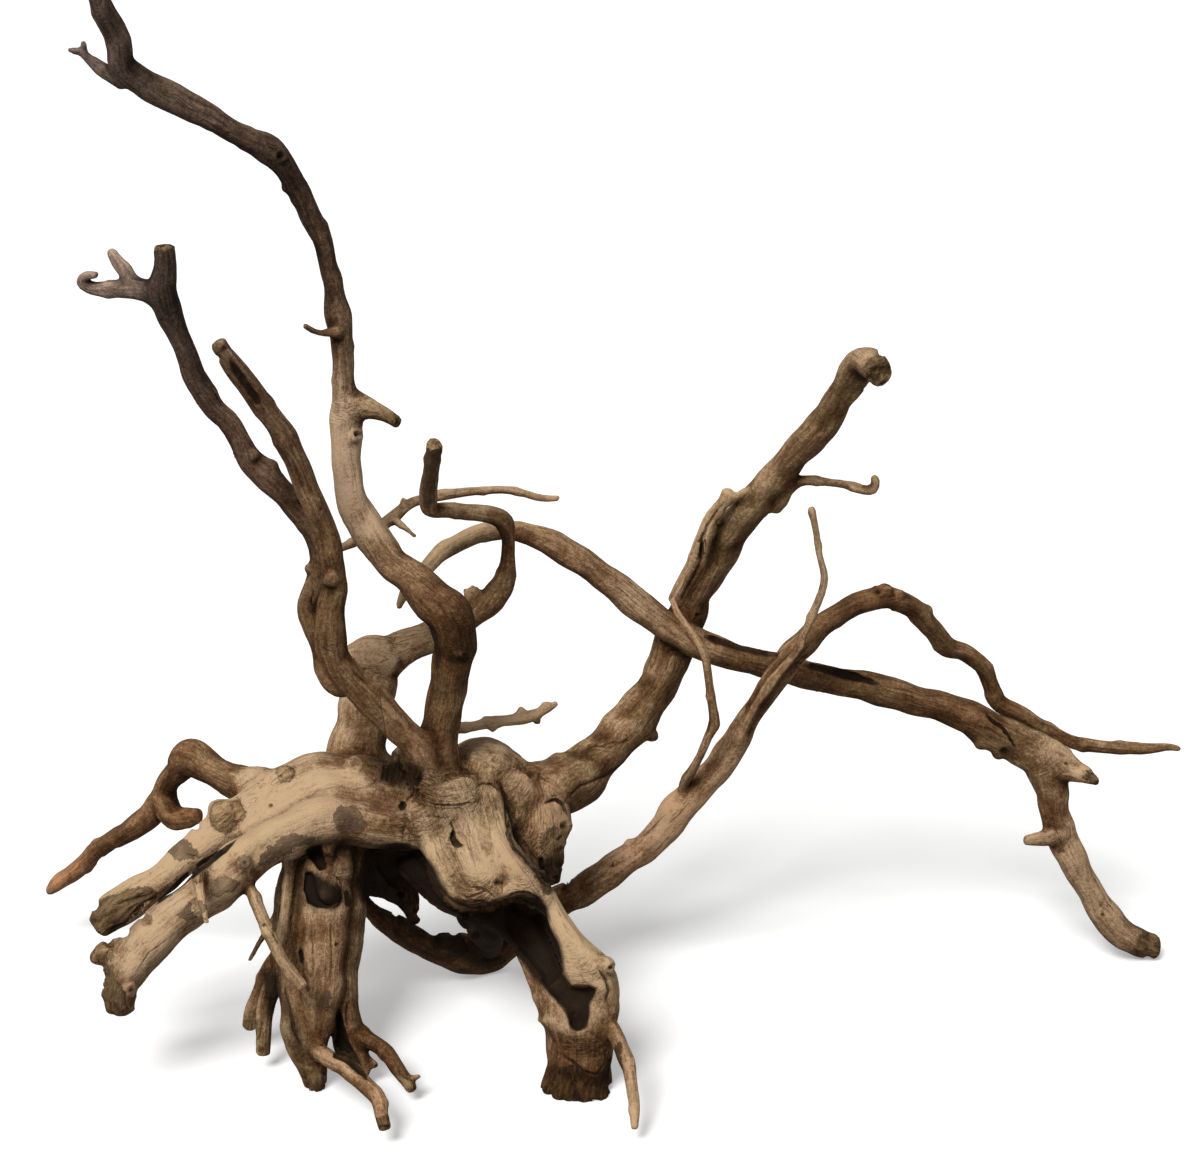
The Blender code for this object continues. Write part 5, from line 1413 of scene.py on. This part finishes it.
def paintAttributes(wood, guide):
    # what the wood's material reads: grain (place along the limb), marks, the limb's tone with painted shade in it, and
    # painted light and shade from facing up, folds and occlusion
    shape, mesh = paintShape, wood.data
    points, normals, pairs = readPoints(mesh), readPoints(mesh, "normal"), edgePairs(mesh)
    marks, skin = marksOf(points, normals, guide)
    tone, warmth = np.zeros(len(points)), np.zeros(len(points))
    for order, name in enumerate(allLimbs):
        own = skin["number"] == order
        for layer, stops in zip((tone, warmth), limbTonesAndShade.get(name, shape["unknownTone"])):
            layer[own] = np.interp(skin["share"][own], np.linspace(0, 1, len(stops)), stops)
    grain, fields = skin["local"], np.column_stack([tone, warmth, occlusionShadeOf(points, normals)])
    count, softened = neighbourCount(pairs, len(points)), points
    for step in range(shape["fieldSteps"]):
        fields = (1 - shape["fieldShare"]) * fields + shape["fieldShare"] * neighbourMean(fields, pairs, count)
        if step < shape["grainSteps"]:
            grain = (1 - shape["grainShare"]) * grain + shape["grainShare"] * neighbourMean(grain, pairs, count)
        if step < shape["foldSteps"]:
            softened = neighbourMean(softened, pairs, count)
    # how far the skin lies below its own smoothed surface: above 0 in folds, below 0 on edges; the colour takes it as
    # painted shade in folds and painted light on edges
    fold = np.clip(((softened - points) * normals).sum(axis=1) / shape["foldDepth"], -1, 1)
    values = {name: marks[name] for name in markNames if name != "out"}
    values |= {"tone": fields[:, 0], "warmth": fields[:, 1], "shelter": fields[:, 2]}
    values |= {"fold": fold, "upward": normals[:, 2]}
    for name, vectors in {"grain": grain, "wrinklePlace": marks["wrinklePlace"]}.items():
        layer = mesh.attributes.new(name, "FLOAT_VECTOR", "POINT")
        layer.data.foreach_set("vector", vectors.astype(np.float32).ravel())
    for name, value in values.items():
        layer = mesh.attributes.new(name, "FLOAT", "POINT")
        layer.data.foreach_set("value", value.astype(np.float32))


wood, guide = makeWood()
paintAttributes(wood, guide)
wood.data.shade_smooth()
print("wood made:", len(wood.data.polygons), "triangles")


class Socket:
    # a node's output that takes part in sums and products by adding Math nodes
    def __init__(self, tree, output):
        self.tree, self.output = tree, output

    def math(self, operation, other=0.0, clamp=False):
        settings = {"operation": operation, "use_clamp": clamp}
        return addNode(self.tree, "ShaderNodeMath", settings, {0: self, 1: other})

    def __add__(self, other):
        return self.math("ADD", other)

    __radd__ = __add__

    def __mul__(self, other):
        return self.math("MULTIPLY", other)

    __rmul__ = __mul__

    def __sub__(self, other):
        return self.math("SUBTRACT", other)

    def __rsub__(self, other):
        return addNode(self.tree, "ShaderNodeMath", {"operation": "SUBTRACT"}, {0: other, 1: self})

    def clamped(self):
        return self.math("ADD", clamp=True)


def addNode(tree, kind, settings=None, inputs=None, output=0):
    # settings first, a ramp's stops among them, then values or links
    node = tree.nodes.new(kind)
    for name, value in (settings or {}).items():
        if name == "stops":
            elements = node.color_ramp.elements
            while len(elements) < len(value):
                elements.new(0.5)
            for element, (place, colour) in zip(elements, value):
                element.position, element.color = place, colour
        else:
            setattr(node, name, value)
    for name, value in (inputs or {}).items():
        if isinstance(value, Socket):
            tree.links.new(value.output, node.inputs[name])
        else:
            node.inputs[name].default_value = value
    return Socket(tree, node.outputs[output])


def mixColour(tree, factor, first, second, blend="MIX"):
    settings = {"data_type": "RGBA", "blend_type": blend, "clamp_factor": True}
    return addNode(tree, "ShaderNodeMix", settings, {0: factor, 6: first, 7: second}, 2)


def srgb(red, green, blue):
    # picture values 0 to 255 as the linear colour that shaders use
    linear = [((v / 255 + 0.055) / 1.055) ** 2.4 if v > 10 else v / 255 / 12.92 for v in (red, green, blue)]
    return (*linear, 1.0)


woodLook = {
    "light": srgb(197, 165, 130),
    "mid": srgb(124, 94, 65),
    "deep": srgb(80, 52, 28),
    "shadeWood": srgb(42, 27, 15),
    "orange": srgb(134, 82, 44),
    "mossy": srgb(128, 116, 76),
    "ashen": srgb(88, 74, 66),
    "bark": srgb(84, 65, 50),
    # painted shade: sheltered colours the shade outlines, and cavity their darkest parts and the inside of hollows and
    # pits; cavity also colours cracks
    "sheltered": srgb(38, 27, 17),
    "cavity": srgb(33, 24, 15),
    "torn": srgb(44, 28, 14),
    "tornLight": srgb(100, 70, 40),
    "tornPale": srgb(190, 158, 116),
    "toneStops": {"shadeWood": 0.0, "deep": 0.3, "mid": 0.6, "light": 1.0},
    "roughness": 0.8,
    "specular": 0.1,
    "bumpStrength": 1.0,
    "bumpDistance": 0.0011,
    # how much each noise and each mask lightens the wood; the masks for facing up, folds, occlusion and wrinkle furrows
    # are painted light and shade
    "noiseShares": {"cloud": 0.45, "blotch": 0.5, "coarse": 0.4, "fine": 0.65, "speck": 0.6, "grit": 0.6},
    "maskShares": {"upward": 0.12, "fold": -0.32, "shelter": -0.45, "furrow": 0.9},
    "lift": 0.06,
    # how much each of them raises its fine relief
    "relief": {
        "fine": 0.5, "coarse": 0.6, "sinew": 1.2, "speck": 0.5, "grit": 0.28, "blotch": 0.6, "tornShred": 2.4,
        "furrow": 3.2, "bark": 0.4, "crack": -1.2, "split": -0.5, "cavity": -0.6,
    },
}

# Noises: (its stretch along the grain, or None where it is even, scale per metre, detail, roughness)
woodNoises = {
    "fine": (0.06, 900, 3, 0.55),
    "coarse": (0.07, 300, 4, 0.55),
    "sinew": (0.05, 120, 2, 0.55),
    "thread": (0.03, 210, 2, 0.55),
    "shred": (0.25, 520, 4, 0.65),
    "cloud": (None, 22, 4, 0.6),
    "blotch": (None, 90, 4, 0.6),
    "speck": (None, 480, 3, 0.65),
    "grit": (None, 1500, 2, 0.6),
    "warmCloud": (None, 17, 3, 0.55),
    "mossCloud": (None, 26, 3, 0.55),
}


def makeWoodMaterial():
    look = woodLook
    material = bpy.data.materials.new("spiderwood")
    material.use_nodes = True
    tree = material.node_tree
    shader = tree.nodes["Principled BSDF"]

    def attribute(name, output="Fac"):
        return addNode(tree, "ShaderNodeAttribute", {"attribute_name": name}, output=output)

    def noise(vector, scale, detail, roughness):
        inputs = {"Vector": vector, "Scale": scale, "Detail": detail, "Roughness": roughness}
        return addNode(tree, "ShaderNodeTexNoise", {}, inputs)

    def stretched(vector, along):
        inputs = {"Vector": vector, "Scale": (1.0, 1.0, along)}
        return addNode(tree, "ShaderNodeMapping", {"vector_type": "POINT"}, inputs)

    def step(value, low, high):
        inputs = {"Value": value, "From Min": low, "From Max": high}
        return addNode(tree, "ShaderNodeMapRange", {"interpolation_type": "SMOOTHSTEP"}, inputs)

    def mix(factor, first, second, blend="MIX"):
        return mixColour(tree, factor, first, look[second] if isinstance(second, str) else second, blend)

    place = addNode(tree, "ShaderNodeTexCoord", output="Object")
    grain = attribute("grain", "Vector")
    layers = {name: attribute(name) for name in ("tone", "warmth", "fold", "upward", "shelter", "pale", "shade")}
    for name, (along, *settings) in woodNoises.items():
        layers[name] = noise(place if along is None else stretched(grain, along), *settings)
    tone, warmth, blotch, speck, cloud, shred = map(layers.get, ("tone", "warmth", "blotch", "speck", "cloud", "shred"))

    # masks with crisp, slightly ragged edges, from ramps that are 0.5 on the outline
    ragged = (speck - 0.5) * 0.7 + (blotch - 0.5) * 0.8
    cavity = step(attribute("cavity") + ragged * 0.3, 0.40, 0.62) * attribute("cavityLevel")
    bark = step(attribute("bark") + ragged, 0.47, 0.54)
    torn = step(attribute("torn") + ragged, 0.38, 0.6)
    crackGap = attribute("crackSide").math("ABSOLUTE") + (speck - 0.5) * 0.7
    crack = (1 - step(crackGap, 0.25, 1.15)) * attribute("crack")
    # wrinkle furrows are raised in the relief and also painted: lighter on their ridges and darker in their troughs, as
    # painted light and shade
    folds = noise(attribute("wrinklePlace", "Vector"), 1.7, 3, 0.6)
    furrow = (folds - 0.5) * attribute("wrinkle")
    # thin lengthwise splits, where the wood has dried most
    split = (1 - step((layers["thread"] - 0.5).math("ABSOLUTE"), 0.0, 0.018)) * step(cloud, 0.52, 0.68)
    layers |= {"cavity": cavity, "bark": bark, "crack": crack, "furrow": furrow, "split": split}
    layers["tornShred"] = torn * shred

    # base wood: from deep to light by tone (with painted shade in it), clouds, streaks, and by painted light and shade
    # from facing up, folds, occlusion and wrinkle furrows
    level = tone
    for name, share in look["noiseShares"].items():
        level = level + (layers[name] - 0.5) * share
    for name, share in look["maskShares"].items():
        level = level + layers[name] * share
    stops = [(spot, look[name]) for name, spot in look["toneStops"].items()]
    base = addNode(tree, "ShaderNodeValToRGB", {"stops": stops}, {0: (level + look["lift"]).clamped()})
    orangeShare = (warmth + (layers["warmCloud"] - 0.56) * 1.3).clamped() * 0.6
    base = mix(orangeShare, base, "orange", "COLOR")
    base = mix((warmth * -1.0).clamped(), base, "ashen", "COLOR")
    base = mix(step(layers["mossCloud"], 0.5, 0.66) * 0.16, base, "mossy", "COLOR")
    # old bark keeps a grey brown skin, worn through here and there
    worn = 0.8 - step(blotch, 0.5, 0.75) * 0.3 - step(speck, 0.58, 0.72) * 0.25
    base = mix((bark * worn).clamped(), base, "bark")
    # torn wood shows bundles of fibre
    bundles = shred * 0.6 + blotch * 0.4
    darkFibre = mix(step(bundles, 0.42, 0.66), look["torn"], "tornLight")
    paleFibre = mix(step(bundles, 0.36, 0.6), look["tornLight"], "tornPale")
    base = mix(torn * 0.85, base, mix(layers["pale"], darkFibre, paleFibre))
    # painted shade on sheltered wood and in hollows and pits, and the dark of cracks, go from dark brown to nearly
    # black
    base = mix(split * 0.4, base, "shadeWood")
    uneven = 1.0 + (blotch - 0.5) * 0.4 + (layers["coarse"] - 0.5) * 0.25
    shade = (layers["shade"] * uneven).clamped()
    base = mix((shade * 1.15).clamped(), base, "sheltered")
    base = mix(step(shade, 0.76, 1.05), base, "cavity")
    base = mix((cavity * (1.0 + (blotch - 0.5) * 0.5)).clamped(), base, "cavity")
    base = mix(crack.clamped() * 0.9, base, "cavity")

    height = 0.0
    for name, share in look["relief"].items():
        height = layers[name] * share + height
    inputs = {"Strength": look["bumpStrength"], "Distance": look["bumpDistance"], "Height": height}
    bump = addNode(tree, "ShaderNodeBump", {}, inputs)
    roughness = (look["roughness"] + (layers["fine"] - 0.5) * 0.2 + torn * 0.1 + cavity * 0.1).clamped()
    for name, value in {"Base Color": base, "Roughness": roughness, "Normal": bump}.items():
        tree.links.new(value.output, shader.inputs[name])
    shader.inputs["Specular IOR Level"].default_value = look["specular"]
    return material


wood.data.materials.append(makeWoodMaterial())
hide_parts("spiderwood_root")
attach(wood, "root")
print("wood finished")


studio = {
    "floor": srgb(240, 240, 239),
    "floorBox": (-9, 9, -3, 14),  # left, right, front, back
    "floorDrop": 0.0002,  # keeps it just clear of the feet
    "floorGlow": 0.34,
    "floorRoughness": 0.9,
    "skyStrength": 0.3,
    "sunStrength": 2.85,
    "sunTurn": (-34, -22),  # degrees that it leans towards the viewer and to the left
    "sunSize": 24,  # degrees across, for soft shadows
}


def addStudio():
    left, right, front, back = studio["floorBox"]
    corners = [(x, y, -studio["floorDrop"]) for x, y in ((left, front), (right, front), (right, back), (left, back))]
    floor = addMesh("floor", np.array(corners), [np.array([(0, 1, 2, 3)])])
    paper = bpy.data.materials.new("paper")
    paper.use_nodes = True
    for name, value in {
        "Base Color": studio["floor"],
        "Roughness": studio["floorRoughness"],
        "Emission Color": studio["floor"],
        "Emission Strength": studio["floorGlow"],
    }.items():
        paper.node_tree.nodes["Principled BSDF"].inputs[name].default_value = value
    floor.data.materials.append(paper)
    floor.visible_diffuse = floor.visible_glossy = False  # no bright bounce, so that the undersides stay dark
    world = bpy.data.worlds.new("softSky")
    world.use_nodes = True
    sky = world.node_tree.nodes["Background"]
    sky.inputs["Color"].default_value = (1.0, 1.0, 1.0, 1.0)
    sky.inputs["Strength"].default_value = studio["skyStrength"]
    bpy.context.scene.world = world
    lamp = bpy.data.lights.new("softSun", "SUN")
    lamp.energy, lamp.angle = studio["sunStrength"], math.radians(studio["sunSize"])
    sun = bpy.data.objects.new("softSun", lamp)
    lean, turn = map(math.radians, studio["sunTurn"])
    sun.rotation_euler = (-lean, turn, 0)
    bpy.context.scene.collection.objects.link(sun)
    bpy.context.scene.view_settings.view_transform = "Standard"


addStudio()
print("studio set")
